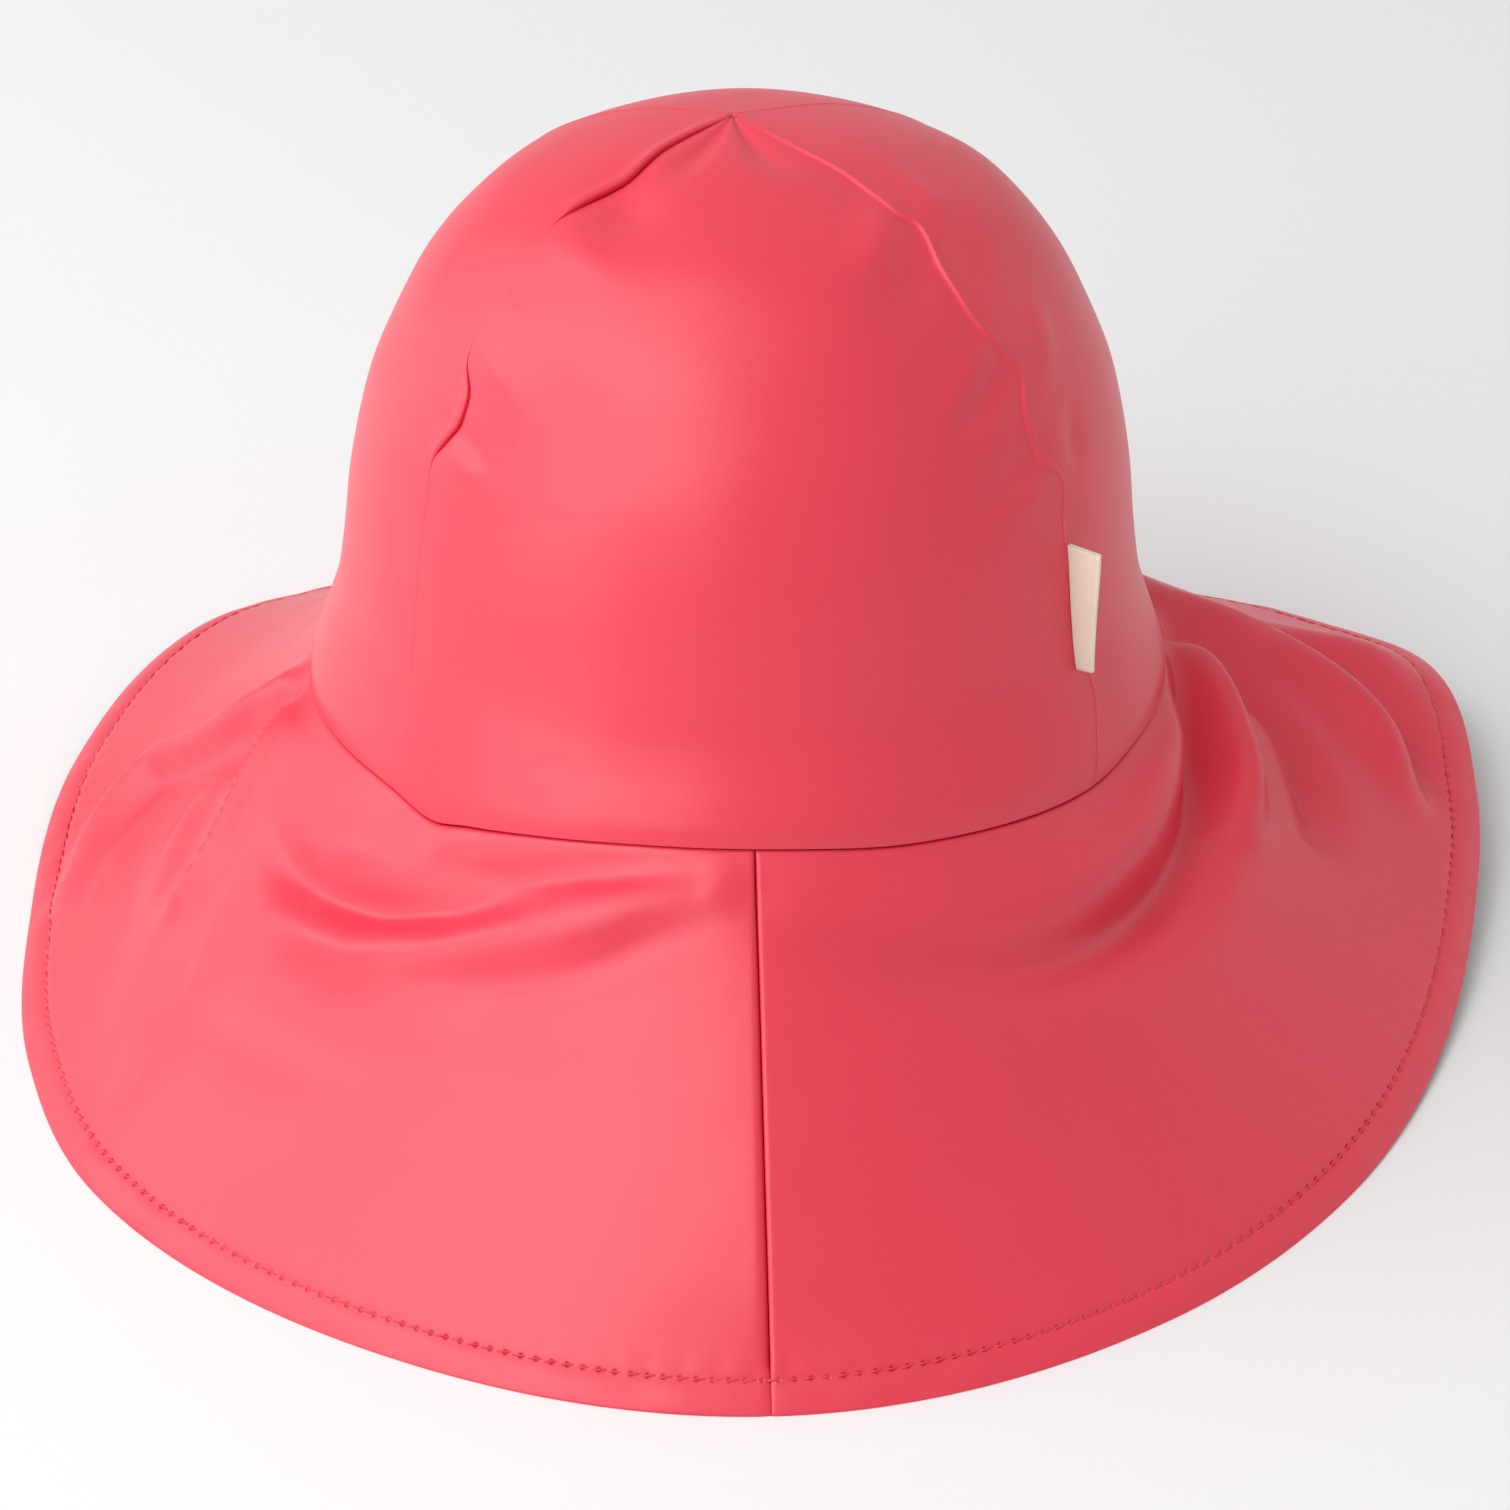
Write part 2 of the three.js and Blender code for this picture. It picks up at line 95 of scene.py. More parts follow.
def smooth_step(x, low, high):
    """0 below low, 1 above high, and a soft rise between them."""
    f = np.clip((x - low) / (high - low), 0, 1)
    return f * f * (3 - 2 * f)


def bell(distance, width):
    """1 where there is no distance, and softly less on both sides."""
    return np.exp(-(distance / width) ** 2)


# %% Gentle unevenness
RIPPLE_WAVES = 7
SHORTEST_WAVE, LONGEST_WAVE = 0.7, 1.5


def ripple(points, length, seed):
    """A sum of waves between about -1 and 1, for points in mm and a wave length in mm."""
    random = np.random.default_rng(seed)
    total = np.zeros(points.shape[:-1])
    for _ in range(RIPPLE_WAVES):
        direction = random.normal(size=3)
        wave = length * random.uniform(SHORTEST_WAVE, LONGEST_WAVE)
        direction *= 2 * math.pi / (wave * np.linalg.norm(direction))
        total += np.sin(points @ direction + random.uniform(0, 2 * math.pi))
    return total / (RIPPLE_WAVES / 2)


def ripple_line(travel, length, seed):
    """The same unevenness along a line, by the distance travelled on it."""
    zero = np.zeros_like(travel)
    return ripple(np.stack([travel, zero, zero], -1), length, seed)


# %% [markdown]
# The crown is half an egg on its own tipped axis. A place on it is an azimuth and a way, from 0 at
# the seam above the brim to 1 at the top. A subdivided cage would give the same egg, but a rule
# also says where a seam or the label lies on it. Puckers are long soft bumps added to it, where
# the sewing has drawn the cloth up.

# %% The crown's sizes, in millimetres and degrees
CROWN_WIDTH, CROWN_LENGTH, CROWN_HEIGHT = 166.0, 177.0, 111.5
SEAM_HEIGHT, CROWN_TILT = 55.0, 8.0
CROWN_LEAN, LEAN_CURVE = 3.0, 1.5
TOP_SHIFT, TOP_SHIFT_REACH = -3.0, 0.35
SEAM_DIP, DIP_REACH = 3.5, 0.22

# Crown section: radius as a share of half the width or length, height as a share of its height
CROWN_SECTION = [
    (1.000, 0.000), (0.996, 0.035), (0.977, 0.080), (0.953, 0.130), (0.930, 0.190), (0.914, 0.280),
    (0.900, 0.380), (0.876, 0.480), (0.842, 0.570), (0.790, 0.660), (0.728, 0.745), (0.650, 0.820),
    (0.550, 0.885), (0.405, 0.938), (0.230, 0.978), (0.000, 1.000),
]

# Crown seam: azimuth, how far it hangs below its plane as a share of the deepest dip
SEAM_LINE = [
    (-180, 0.00), (-90, 0.00), (-64, 0.00), (-54, 0.30), (-46.5, 1.00), (-40, 0.50), (-30, -0.10),
    (-20, -0.48), (-8, -0.60), (5, -0.40), (18, 0.08), (32, 0.42), (44, 0.70), (51, 0.66), (64, 0.05),
    (90, 0.00), (180, 0.00),
]

# %% Where the sewing puckers the crown
# Azimuth, way, direction in degrees from level, then length, width and height in mm
PUCKERS = [
    (-42.0, 0.86, -25, 8.0, 4.5, -1.6),
    (-46.0, 0.80, -20, 9.0, 4.0, 0.7),
    (-29.0, 0.945, 75, 6.0, 2.4, -1.3),
    (13.0, 0.955, 100, 5.0, 2.2, -1.1),
    (33.0, 0.825, 35, 8.0, 3.0, 0.9),
    (34.0, 0.760, 40, 9.0, 4.5, -1.0),
    (56.0, 0.835, 55, 7.0, 3.0, 0.7),
    (50.0, 0.770, 55, 8.0, 5.0, -0.7),
    (38.0, 0.640, 30, 9.0, 3.0, 0.8),
    (39.0, 0.605, 30, 9.0, 2.6, -0.9),
    (58.0, 0.640, 60, 7.0, 3.2, 0.8),
    (42.0, 0.515, 15, 9.0, 3.5, -1.0),
    (42.0, 0.475, 15, 9.0, 3.5, 0.4),
    (57.0, 0.515, 65, 5.0, 3.0, -0.8),
    (-49.0, 0.515, -5, 9.0, 3.0, 0.8),
    (-49.5, 0.553, -25, 5.0, 1.8, -0.8),
    (-47.0, 0.630, -25, 10.0, 3.5, 0.7),
    (-50.0, 0.700, -20, 5.0, 2.5, 0.4),
    (-50.0, 0.400, -5, 7.0, 4.0, 0.4),
]


# %% The crown's surface
def tip_forward(x, y, z):
    """From the crown's own axes to the hat's."""
    t = math.radians(CROWN_TILT)
    return np.stack([x, y * math.cos(t) + z * math.sin(t),
                     SEAM_HEIGHT - y * math.sin(t) + z * math.cos(t)], -1)


def pucker_height(azimuth, way):
    """The height of all puckers, each an oval that lies slantwise on the cloth."""
    total = np.zeros(np.broadcast(azimuth, way).shape)
    meridian = CROWN_HEIGHT + CROWN_WIDTH / 4  # about the length from the seam to the top
    for at, up, direction, length, width, height in PUCKERS:
        radius = CROWN_WIDTH / 2 * float(spline(CROWN_SECTION, np.array(up))[0])
        across = np.radians((azimuth - at + 180) % 360 - 180) * radius
        along = (way - up) * meridian
        turn = math.radians(direction)
        u = across * math.cos(turn) + along * math.sin(turn)
        v = along * math.cos(turn) - across * math.sin(turn)
        total += height * bell(u, length) * bell(v, width)
    return total


def seam_dip(azimuth):
    """How far the seam between crown and brim hangs below its plane."""
    return SEAM_DIP * through(SEAM_LINE, (azimuth + 180) % 360 - 180, 1, 360)


def crown_point(azimuth, way, out):
    """A place of the crown, out mm outside its face."""
    section = spline(CROWN_SECTION, way)
    radius, height = section[..., 0], section[..., 1]
    angle = np.radians(azimuth)
    shift = CROWN_LEAN * height ** LEAN_CURVE + TOP_SHIFT * bell(radius, TOP_SHIFT_REACH)
    x = (CROWN_WIDTH / 2 + out) * radius * np.sin(angle) + shift
    y = -(CROWN_LENGTH / 2 + out) * radius * np.cos(angle)
    dip = seam_dip(azimuth) * np.clip(1 - way / DIP_REACH, 0, 1) ** 2
    return tip_forward(x, y, (CROWN_HEIGHT + out) * height - dip)


print("top of the crown", crown_point(np.array(0.0), np.array(1.0), 0.0).round(1))

# %% [markdown]
# The brim is a sloping collar between two closed lines: the seam at its top and the hem line below.
# Simulated cloth would fold by itself, but not where this hat's folds are, so each fold is drawn.
# It follows a curved line on a flat plan of the cloth, as a ridge or hollow that dies out on both
# sides. Way is 0 at the seam and 1 at the hem.

# %% The brim's sizes and its hem line
BRIM_HALF_WIDTH, BRIM_WALL, BRIM_SAG = 141.0, 1.2, 3.0
SEAM_GAP = 0.3
BACK_SEAM_LEAN = 1.0
HEM_LIFT = 14.0

# Hem line: azimuth, reach as a share of the half width, lift as a share of the highest
HEM_LINE = [
    (-180, 0.985, 0.00), (-156, 1.000, 0.00), (-143, 1.050, 0.06), (-133, 1.070, 0.20),
    (-112, 1.024, 0.16), (-90, 1.000, 0.00), (-70, 1.047, 0.00), (-54, 1.097, 0.00),
    (-28, 1.127, 0.00), (0, 1.157, 0.00), (27, 1.112, 0.00), (45, 1.072, 0.00),
    (64, 1.037, 0.12), (80, 1.035, 0.43), (95, 1.070, 0.73), (110, 1.115, 1.00),
    (122, 1.070, 0.70), (145, 0.990, 0.12), (180, 0.985, 0.00),
]

# %% The brim's folds
FOLD_HEIGHT, FOLD_WIDTH = 4.0, 10.0
CREST_ROUND = 1.0
FOLD_STEPS = 6
FOLD_START, FOLD_END = 0.08, 0.25

# Height and width as shares, whether creased, and a line of azimuth, way and strength
BRIM_FOLDS = [
    # Ridges and hollows at the left, fanning out from the crown
    (1.30, 0.50, False, [(-93, 0.02, 0.30), (-94, 0.23, 1), (-97, 0.42, 1), (-100, 0.60, 1),
        (-95, 0.78, 0.80), (-88, 0.90, 0.60)]),
    (1.50, 0.40, True, [(-86, 0.01, 0.30), (-80, 0.13, 0.90), (-75.5, 0.25, 1), (-71.5, 0.38, 0.90),
        (-70, 0.50, 0.50)]),
    (0.45, 0.90, False, [(-70, 0.50, 1), (-68, 0.61, 1), (-63, 0.72, 1), (-59, 0.86, 0.50)]),
    (-0.60, 0.55, False, [(-89.5, 0.06, 0.50), (-87.5, 0.15, 1), (-86, 0.28, 0.50)]),
    (0.30, 0.50, False, [(-84, 0.30, 0.30), (-85.5, 0.42, 1), (-80, 0.53, 1), (-73, 0.60, 0.40)]),
    (0.25, 0.50, False, [(-93, 0.58, 0.50), (-90, 0.70, 1), (-85, 0.76, 0.40)]),
    (-0.35, 0.45, True, [(-64, 0.50, 0.40), (-61, 0.65, 1), (-58, 0.80, 1), (-56, 0.93, 0.70)]),
    # The smile-shaped tuck left of the back seam: a roll, the tuck, its lip, and waves below it
    (0.35, 0.60, False, [(-61, 0.17, 0.30), (-55, 0.17, 0.90), (-49, 0.145, 1), (-43, 0.12, 1),
        (-37, 0.10, 1), (-31, 0.09, 0.40)]),
    (-1.15, 0.45, False, [(-65, 0.25, 0.30), (-59, 0.265, 0.90), (-53, 0.25, 1), (-48, 0.22, 1),
        (-43, 0.19, 1), (-36.5, 0.165, 1), (-30, 0.13, 0.70), (-25, 0.11, 0.20)]),
    (0.85, 0.50, False, [(-57, 0.335, 0.40), (-51, 0.315, 0.80), (-45, 0.29, 1), (-38, 0.255, 1),
        (-31, 0.21, 1), (-25, 0.185, 1), (-18.5, 0.15, 1), (-13.5, 0.11, 0.90), (-6.5, 0.07, 0.70),
        (-1.5, 0.04, 0.30)]),
    (-0.60, 0.70, False, [(-33.5, 0.31, 0.50), (-27, 0.28, 1), (-21, 0.245, 1), (-16, 0.20, 1),
        (-12, 0.16, 0.90), (-6.5, 0.115, 0.70), (-1.5, 0.07, 0.30)]),
    (-0.32, 0.80, False, [(-60, 0.60, 0.40), (-51.5, 0.55, 1), (-45, 0.53, 1), (-39, 0.51, 1),
        (-32, 0.47, 1), (-25, 0.43, 0.80), (-19, 0.40, 0.30)]),
    (-0.70, 0.35, False, [(-44, 0.09, 0.30), (-38, 0.085, 1), (-29, 0.06, 1), (-20, 0.045, 1),
        (-8, 0.04, 0.60)]),
    # The back seam stands up a little, like the ridge of a roof
    (1.00, 3.00, True, [(0, 0.06, 0.20), (0, 0.30, 0.90), (0, 0.70, 1), (0, 0.97, 0.20)]),
    # The deep crescent right of it, with a roll above, and the folds at the right
    (0.60, 0.60, False, [(84, 0.03, 0.30), (76, 0.06, 0.80), (66.5, 0.10, 1), (58, 0.135, 1),
        (51, 0.16, 1), (42.5, 0.18, 1), (35, 0.19, 1), (26.5, 0.185, 0.80), (16.5, 0.14, 0.50),
        (5, 0.09, 0.30)]),
    (-2.10, 0.65, False, [(1.5, 0.10, 0.15), (14.5, 0.18, 0.40), (24, 0.235, 0.60),
        (32.5, 0.265, 0.75), (40, 0.275, 0.85), (49, 0.27, 1), (57, 0.265, 1), (64.5, 0.24, 1),
        (71.5, 0.20, 1), (76, 0.165, 1), (81, 0.12, 0.90), (86, 0.08, 0.60), (93, 0.04, 0.30)]),
    (1.90, 0.45, False, [(98, 0.05, 0.10), (92, 0.11, 0.80), (86, 0.165, 1), (80, 0.225, 1),
        (75, 0.28, 0.90), (69, 0.33, 0.40)]),
    (-1.50, 0.55, False, [(99, 0.10, 0.60), (96, 0.30, 1), (91.5, 0.43, 1), (85, 0.50, 1),
        (78, 0.53, 0.40)]),
    (1.80, 0.60, False, [(108, 0.05, 0.20), (105, 0.25, 0.90), (103.5, 0.43, 1), (100.5, 0.58, 1),
        (96, 0.70, 1), (91, 0.81, 0.50)]),
    (-1.60, 0.70, False, [(110, 0.45, 0.50), (109, 0.61, 1), (105, 0.72, 1), (99, 0.81, 1),
        (92, 0.85, 0.50)]),
    (0.80, 1.00, False, [(113, 0.05, 1), (112, 0.40, 1), (110, 0.85, 1)]),
]
print("folds", len(BRIM_FOLDS))


# %% The height of the folds
SLOPE_LENGTH = math.hypot(BRIM_HALF_WIDTH - CROWN_WIDTH / 2, SEAM_HEIGHT)


def plan(azimuth, way):
    """A place of the brim on its flat plan, in mm."""
    radius = CROWN_WIDTH / 2 + way * SLOPE_LENGTH
    angle = np.radians(azimuth)
    return np.stack([np.sin(angle) * radius, -np.cos(angle) * radius], -1)


def fold_height(azimuth, way):
    """How far all folds lift the cloth. Each goes by the nearest place of its line."""
    place = plan(azimuth, way)
    total = np.zeros(place.shape[:-1])
    for height, width, creased, rows in BRIM_FOLDS:
        rows = spline(rows, np.linspace(0, 1, FOLD_STEPS * (len(rows) - 1) + 1))
        line = plan(rows[:, 0], rows[:, 1])
        start, step = line[:-1], np.diff(line, axis=0)
        near = np.full(total.shape, np.inf)
        strength = np.zeros(total.shape)
        for k in range(len(step)):
            share = np.clip((place - start[k]) @ step[k] / (step[k] @ step[k]), 0, 1)
            distance = np.linalg.norm(place - start[k] - share[..., None] * step[k], axis=-1)
            closer = distance < near
            near = np.where(closer, distance, near)
            here = rows[k, 2] + share * (rows[k + 1, 2] - rows[k, 2])
            strength = np.where(closer, here, strength)
        if creased:
            shape = np.exp(-(np.hypot(near, CREST_ROUND) - CREST_ROUND) / (width * FOLD_WIDTH))
        else:
            shape = bell(near, width * FOLD_WIDTH)
        total += height * FOLD_HEIGHT * strength * shape
    return total * np.clip(way / FOLD_START, 0, 1) * smooth_step(1 - way, 0.0, FOLD_END)


# %% The brim's surface
LEVEL_TOP = 0.06
BESIDE, ABOVE = 0.1, 0.01


def lean_seam(azimuth):
    """Turn the cloth a little round the hat at the back, where its seam leans to one side."""
    return azimuth - BACK_SEAM_LEAN * np.cos(np.radians(azimuth) / 2) ** 4


def brim_top(azimuth):
    """The line where the brim meets the crown."""
    angle = np.radians(lean_seam(azimuth))
    x = (CROWN_WIDTH - BRIM_WALL) / 2 * np.sin(angle)
    y = -(CROWN_LENGTH - BRIM_WALL) / 2 * np.cos(angle)
    return tip_forward(x, y, -SEAM_GAP - seam_dip(np.degrees(angle)))


def brim_bottom(azimuth):
    """The hem line on the floor, lifted at both sides."""
    turned = lean_seam(azimuth)
    reach = BRIM_HALF_WIDTH * through(HEM_LINE, turned, 1, 360)
    lift = np.maximum(0, HEM_LIFT * through(HEM_LINE, turned, 2, 360))
    angle = np.radians(turned)
    return np.stack([reach * np.sin(angle), -reach * np.cos(angle), lift], -1)


def brim_middle(azimuth, way):
    """A place in the middle of the brim's wall: the slope, its sag and its folds."""
    top = brim_top(azimuth)
    slope = brim_bottom(azimuth) - top
    level = np.hypot(slope[..., 0], slope[..., 1])
    normal = np.stack([-slope[..., 0] * slope[..., 2] / level,
                       -slope[..., 1] * slope[..., 2] / level, level], -1)
    normal /= np.linalg.norm(slope, axis=-1, keepdims=True)
    rise = fold_height(azimuth, way) - BRIM_SAG * np.sin(math.pi * way)
    return top + slope * way[..., None] + normal * rise[..., None]


def through_brim(azimuth, way, hem_way):
    """The direction through the cloth: level at both ends and square to it between them."""
    here = brim_middle(azimuth, way)
    beside = brim_middle(azimuth + BESIDE, way) - here
    above = brim_middle(azimuth, way - ABOVE) - here
    normal = np.cross(beside, above)
    normal /= np.linalg.norm(normal, axis=-1, keepdims=True)
    angle = np.radians(azimuth)
    level = np.stack([np.sin(angle), -np.cos(angle), np.zeros_like(angle)], -1)
    square = np.minimum(np.clip(way / LEVEL_TOP, 0, 1), np.clip((1 - way) / (1 - hem_way), 0, 1))
    mixed = level * (1 - square[..., None]) + normal * square[..., None]
    return mixed / np.linalg.norm(mixed, axis=-1, keepdims=True)


back_seam_ends = brim_top(np.array(0.0)), brim_bottom(np.array(0.0))
print("back seam from", back_seam_ends[0].round(1), "to", back_seam_ends[1].round(1))

# %% [markdown]
# The solids stand with the middle of their footprint on the origin. The hem line has nearly the
# same extent, so the middle of its box says how far the hat's axes lie from the frame's.

# %% From the hat's axes to the frame
hem_extent = brim_bottom(np.linspace(-180, 180, 721))[:, :2]
MIDDLE = np.append((hem_extent.min(0) + hem_extent.max(0)) / 2, 0)

# %% [markdown]
# Every cloth piece is a closed wall: one grid of points for its face, one for its inner side, and
# strips round the four edges. A Solidify modifier could thicken a single grid, but a second grid
# lets the wall change, as in the hem, where the cloth is double. The UV map holds metres of cloth,
# so a weave or a stitch can be placed by its real size.


# %% Meshes from grids of points
def shell(name, outer, inner, plan_uv, materials):
    """A closed wall between two grids of points in mm. plan_uv holds metres of cloth."""
    columns, rows = outer.shape[0], outer.shape[1]
    points = np.concatenate([outer.reshape(-1, 3), inner.reshape(-1, 3)]) - MIDDLE
    count = columns * rows
    index = np.arange(count).reshape(columns, rows)
    a, b, c, d = index[:-1, :-1], index[1:, :-1], index[1:, 1:], index[:-1, 1:]
    face = np.stack([a, b, c, d], -1).reshape(-1, 4)
    back = face[:, ::-1] + count
    edges = [index[:, 0], index[-1, :], index[::-1, -1], index[0, ::-1]]
    sides = np.concatenate([np.stack([edge[1:], edge[:-1], edge[:-1] + count, edge[1:] + count], -1)
                            for edge in edges])
    faces = np.concatenate([face, back, sides])
    mesh = bpy.data.meshes.new(name)
    mesh.vertices.add(len(points))
    mesh.vertices.foreach_set("co", (points * MM).astype(np.float32).ravel())
    mesh.loops.add(len(faces) * 4)
    mesh.loops.foreach_set("vertex_index", faces.astype(np.int32).ravel())
    mesh.polygons.add(len(faces))
    mesh.polygons.foreach_set("loop_start", np.arange(0, len(faces) * 4, 4, dtype=np.int32))
    mesh.polygons.foreach_set("loop_total", np.full(len(faces), 4, np.int32))
    material = np.concatenate([np.zeros(len(face)), np.ones(len(back)), np.zeros(len(sides))])
    mesh.polygons.foreach_set("material_index", material.astype(np.int32))
    mesh.update(calc_edges=True)
    flat = np.concatenate([plan_uv.reshape(-1, 2)] * 2)
    layer = mesh.uv_layers.new(name="cloth")
    layer.data.foreach_set("uv", flat[faces.ravel()].astype(np.float32).ravel())
    mesh.shade_smooth()
    for surface in materials:
        mesh.materials.append(surface)
    return add_object(name, mesh)


def spread(total, edge_steps, step):
    """Places from 0 to total mm: close together first, then about a step apart."""
    first = np.cumsum([0.0, *edge_steps])
    rest = np.linspace(first[-1], total, max(2, round((total - first[-1]) / step) + 1))
    return np.concatenate([first, rest[1:]])


# %% [markdown]
# Materials are written as sums. A small class wraps a node's output, so that an expression such as
# 1 - mask adds the Math nodes it needs, and one function adds every other kind of node. Adding the
# nodes one by one would take many more lines and hide what they work out.


# %% Nodes from Python expressions
def plug(tree, socket, value):
    """Put a wire or a plain value into a socket."""
    if isinstance(value, Wire):
        tree.links.new(value.socket, socket)
    else:
        socket.default_value = value


class Wire:
    """A node's output that takes part in expressions."""

    def __init__(self, tree, socket):
        self.tree, self.socket = tree, socket

    def __add__(self, other):
        return math_node(self.tree, "ADD", self, other)

    def __radd__(self, other):
        return math_node(self.tree, "ADD", other, self)

    def __sub__(self, other):
        return math_node(self.tree, "SUBTRACT", self, other)

    def __rsub__(self, other):
        return math_node(self.tree, "SUBTRACT", other, self)

    def __mul__(self, other):
        return math_node(self.tree, "MULTIPLY", self, other)

    def __rmul__(self, other):
        return math_node(self.tree, "MULTIPLY", other, self)

    def __truediv__(self, other):
        return math_node(self.tree, "DIVIDE", self, other)

    def __pow__(self, other):
        return math_node(self.tree, "POWER", self, other)

    def soft_step(self, low, high):
        node = add_node(self.tree, "ShaderNodeMapRange", {"interpolation_type": "SMOOTHSTEP"},
                        {0: self, 1: low, 2: high, 3: 0.0, 4: 1.0})
        return node[0]


# %% Any node, and the start and end of a material
class Outputs:
    """The outputs of a node, by number or name."""

    def __init__(self, tree, node):
        self.tree, self.node = tree, node

    def __getitem__(self, key):
        return Wire(self.tree, self.node.outputs[key])


def add_node(tree, kind, settings=None, values=None):
    """Any node: its settings are set first, then the values or links of its sockets."""
    node = tree.nodes.new(kind)
    for name, value in (settings or {}).items():
        setattr(node, name, value)
    for key, value in (values or {}).items():
        plug(tree, node.inputs[key], value)
    return Outputs(tree, node)


def math_node(tree, operation, *values):
    """A Math node on wires and numbers."""
    return add_node(tree, "ShaderNodeMath", {"operation": operation}, dict(enumerate(values)))[0]


def new_material(name):
    material = bpy.data.materials.new(name)
    material.use_nodes = True
    material.node_tree.nodes.clear()
    return material, material.node_tree


def noise(tree, scale, detail):
    """Noise of one size over the whole piece, from 0 to 1."""
    place = add_node(tree, "ShaderNodeTexCoord")["Object"]
    return add_node(tree, "ShaderNodeTexNoise", None,
                    {"Vector": place, "Scale": scale, "Detail": detail})[0]


def blend(tree, share, first, second):
    """A colour between two."""
    return add_node(tree, "ShaderNodeMix", {"data_type": "RGBA"},
                    {"Factor": share, 6: first, 7: second})[2]


def bump(tree, height, strength=1.0):
    """A normal that follows a height in metres."""
    return add_node(tree, "ShaderNodeBump", None,
                    {"Strength": strength, "Distance": 1.0, "Height": height})[0]


def finish_material(tree, **values):
    surface = add_node(tree, "ShaderNodeBsdfPrincipled", None,
                       {key.replace("_", " "): value for key, value in values.items()})
    add_node(tree, "ShaderNodeOutputMaterial", None, {"Surface": surface[0]})


# %% [markdown]
# The cloth has a matt-satin polyurethane skin. Its colour is even, its highlights are broad, and
# close up it shows a very fine grain. A coat layer could give the gloss, but it makes a second,
# sharper highlight, so one rough skin with a strong reflection is enough. Along the hem the needle
# has left a small hole at each end of a stitch; the cloth's own UV map says where. Each hole is a
# small dent, and its colour is painted darker as shade in the hole.

# %% Coated cloth
CORAL, CORAL_DEEP = (0.80, 0.040, 0.080, 1.0), (0.68, 0.022, 0.048, 1.0)
LEAST_DEEP, DEEP_DRIFT = 0.10, 0.35
SKIN_GLOSS, SKIN_ROUGHNESS, ROUGHNESS_DRIFT = 0.65, 0.35, 0.06
GRAIN_SCALE, GRAIN_HEIGHT, CLOUD_SCALE = 1500.0, 0.02, 14.0
STITCH_INSET = 6.4
# Needle holes: HOLE_SHADE is painted shade that darkens the colour in each hole; the dent is real
# relief
HOLE_INNER, HOLE_OUTER, HOLE_SHADE = 0.12, 0.42, 0.9
DENT_INNER, DENT_OUTER, DENT_DEPTH = 0.10, 0.70, 0.25


def needle_distance(tree, pitch):
    """The distance to the nearest needle hole of the hem, in metres."""
    cloth = add_node(tree, "ShaderNodeUVMap", {"uv_map": "cloth"})[0]
    split = add_node(tree, "ShaderNodeSeparateXYZ", None, {0: cloth})
    along = (math_node(tree, "FRACT", split[0] / (pitch * MM)) - 0.5) * (pitch * MM)
    across = split[1] - STITCH_INSET * MM
    return (along * along + across * across) ** 0.5


def coated_cloth(name, hole_pitch=None):
    material, tree = new_material(name)
    cloud = noise(tree, CLOUD_SCALE, 3.0)
    deep = LEAST_DEEP + DEEP_DRIFT * cloud
    height = GRAIN_HEIGHT * MM * noise(tree, GRAIN_SCALE, 2.0)
    if hole_pitch:
        away = needle_distance(tree, hole_pitch)
        # Painted shade: the colour darkens towards the deep coral in each needle hole
        hole = 1 - away.soft_step(HOLE_INNER * MM, HOLE_OUTER * MM)
        deep = math_node(tree, "MINIMUM", deep + HOLE_SHADE * hole, 1.0)
        dent = 1 - away.soft_step(DENT_INNER * MM, DENT_OUTER * MM)
        height = height - DENT_DEPTH * MM * dent
    finish_material(tree, Base_Color=blend(tree, deep, CORAL, CORAL_DEEP), Normal=bump(tree, height),
                    Roughness=SKIN_ROUGHNESS + ROUGHNESS_DRIFT * cloud,
                    Specular_IOR_Level=SKIN_GLOSS)
    return material


panel_cloth = coated_cloth("coated_cloth")

# %% [markdown]
# Inside, the coating's backing shows: a plain knit of the same red, quite matt. Cells of a Voronoi
# texture stand for its loops, because modelled ones would be far smaller than a pixel. The thread
# is the cloth's own red with a trace of fibre.

# %% Backing and thread
BACKING_PALE, BACKING_DEEP = (0.66, 0.10, 0.13, 1), (0.50, 0.05, 0.075, 1)
LOOP_SCALE, LOOP_HEIGHT = 1300.0, 0.12
THREAD_PALE, THREAD_DEEP = (0.80, 0.060, 0.095, 1), (0.62, 0.030, 0.055, 1)
FIBRE_SCALE, FIBRE_HEIGHT = 5000.0, 0.06


def backing_cloth():
    material, tree = new_material("cloth_backing")
    place = add_node(tree, "ShaderNodeTexCoord")["Object"]
    loops = add_node(tree, "ShaderNodeTexVoronoi", None, {"Vector": place, "Scale": LOOP_SCALE})[0]
    colour = blend(tree, 0.25 + 0.5 * noise(tree, 60.0, 3.0), BACKING_PALE, BACKING_DEEP)
    finish_material(tree, Base_Color=colour, Roughness=0.85,
                    Normal=bump(tree, LOOP_HEIGHT * MM * loops))
    return material


def stitch_thread():
    material, tree = new_material("sewing_thread")
    fibre = noise(tree, FIBRE_SCALE, 1.0)
    finish_material(tree, Base_Color=blend(tree, fibre, THREAD_PALE, THREAD_DEEP), Roughness=0.5,
                    Normal=bump(tree, FIBRE_HEIGHT * MM * fibre, 0.6))
    return material


backing = backing_cloth()
thread = stitch_thread()

# %% [markdown]
# The side label is cream ribbon, woven in a fine twill. The slanting ribs are a sine of the cloth's
# own UV map, because on Object coordinates they would run straight through the folded ribbon.
# Their hollows are painted a deeper cream, as shade.

# %% Ribbon
CREAM_HOLLOW_SHADE, CREAM = (0.80, 0.70, 0.55, 1), (0.93, 0.87, 0.76, 1)
RIB_PITCH, RIB_SLANT, RIB_HEIGHT = 0.55, 0.6, 0.06


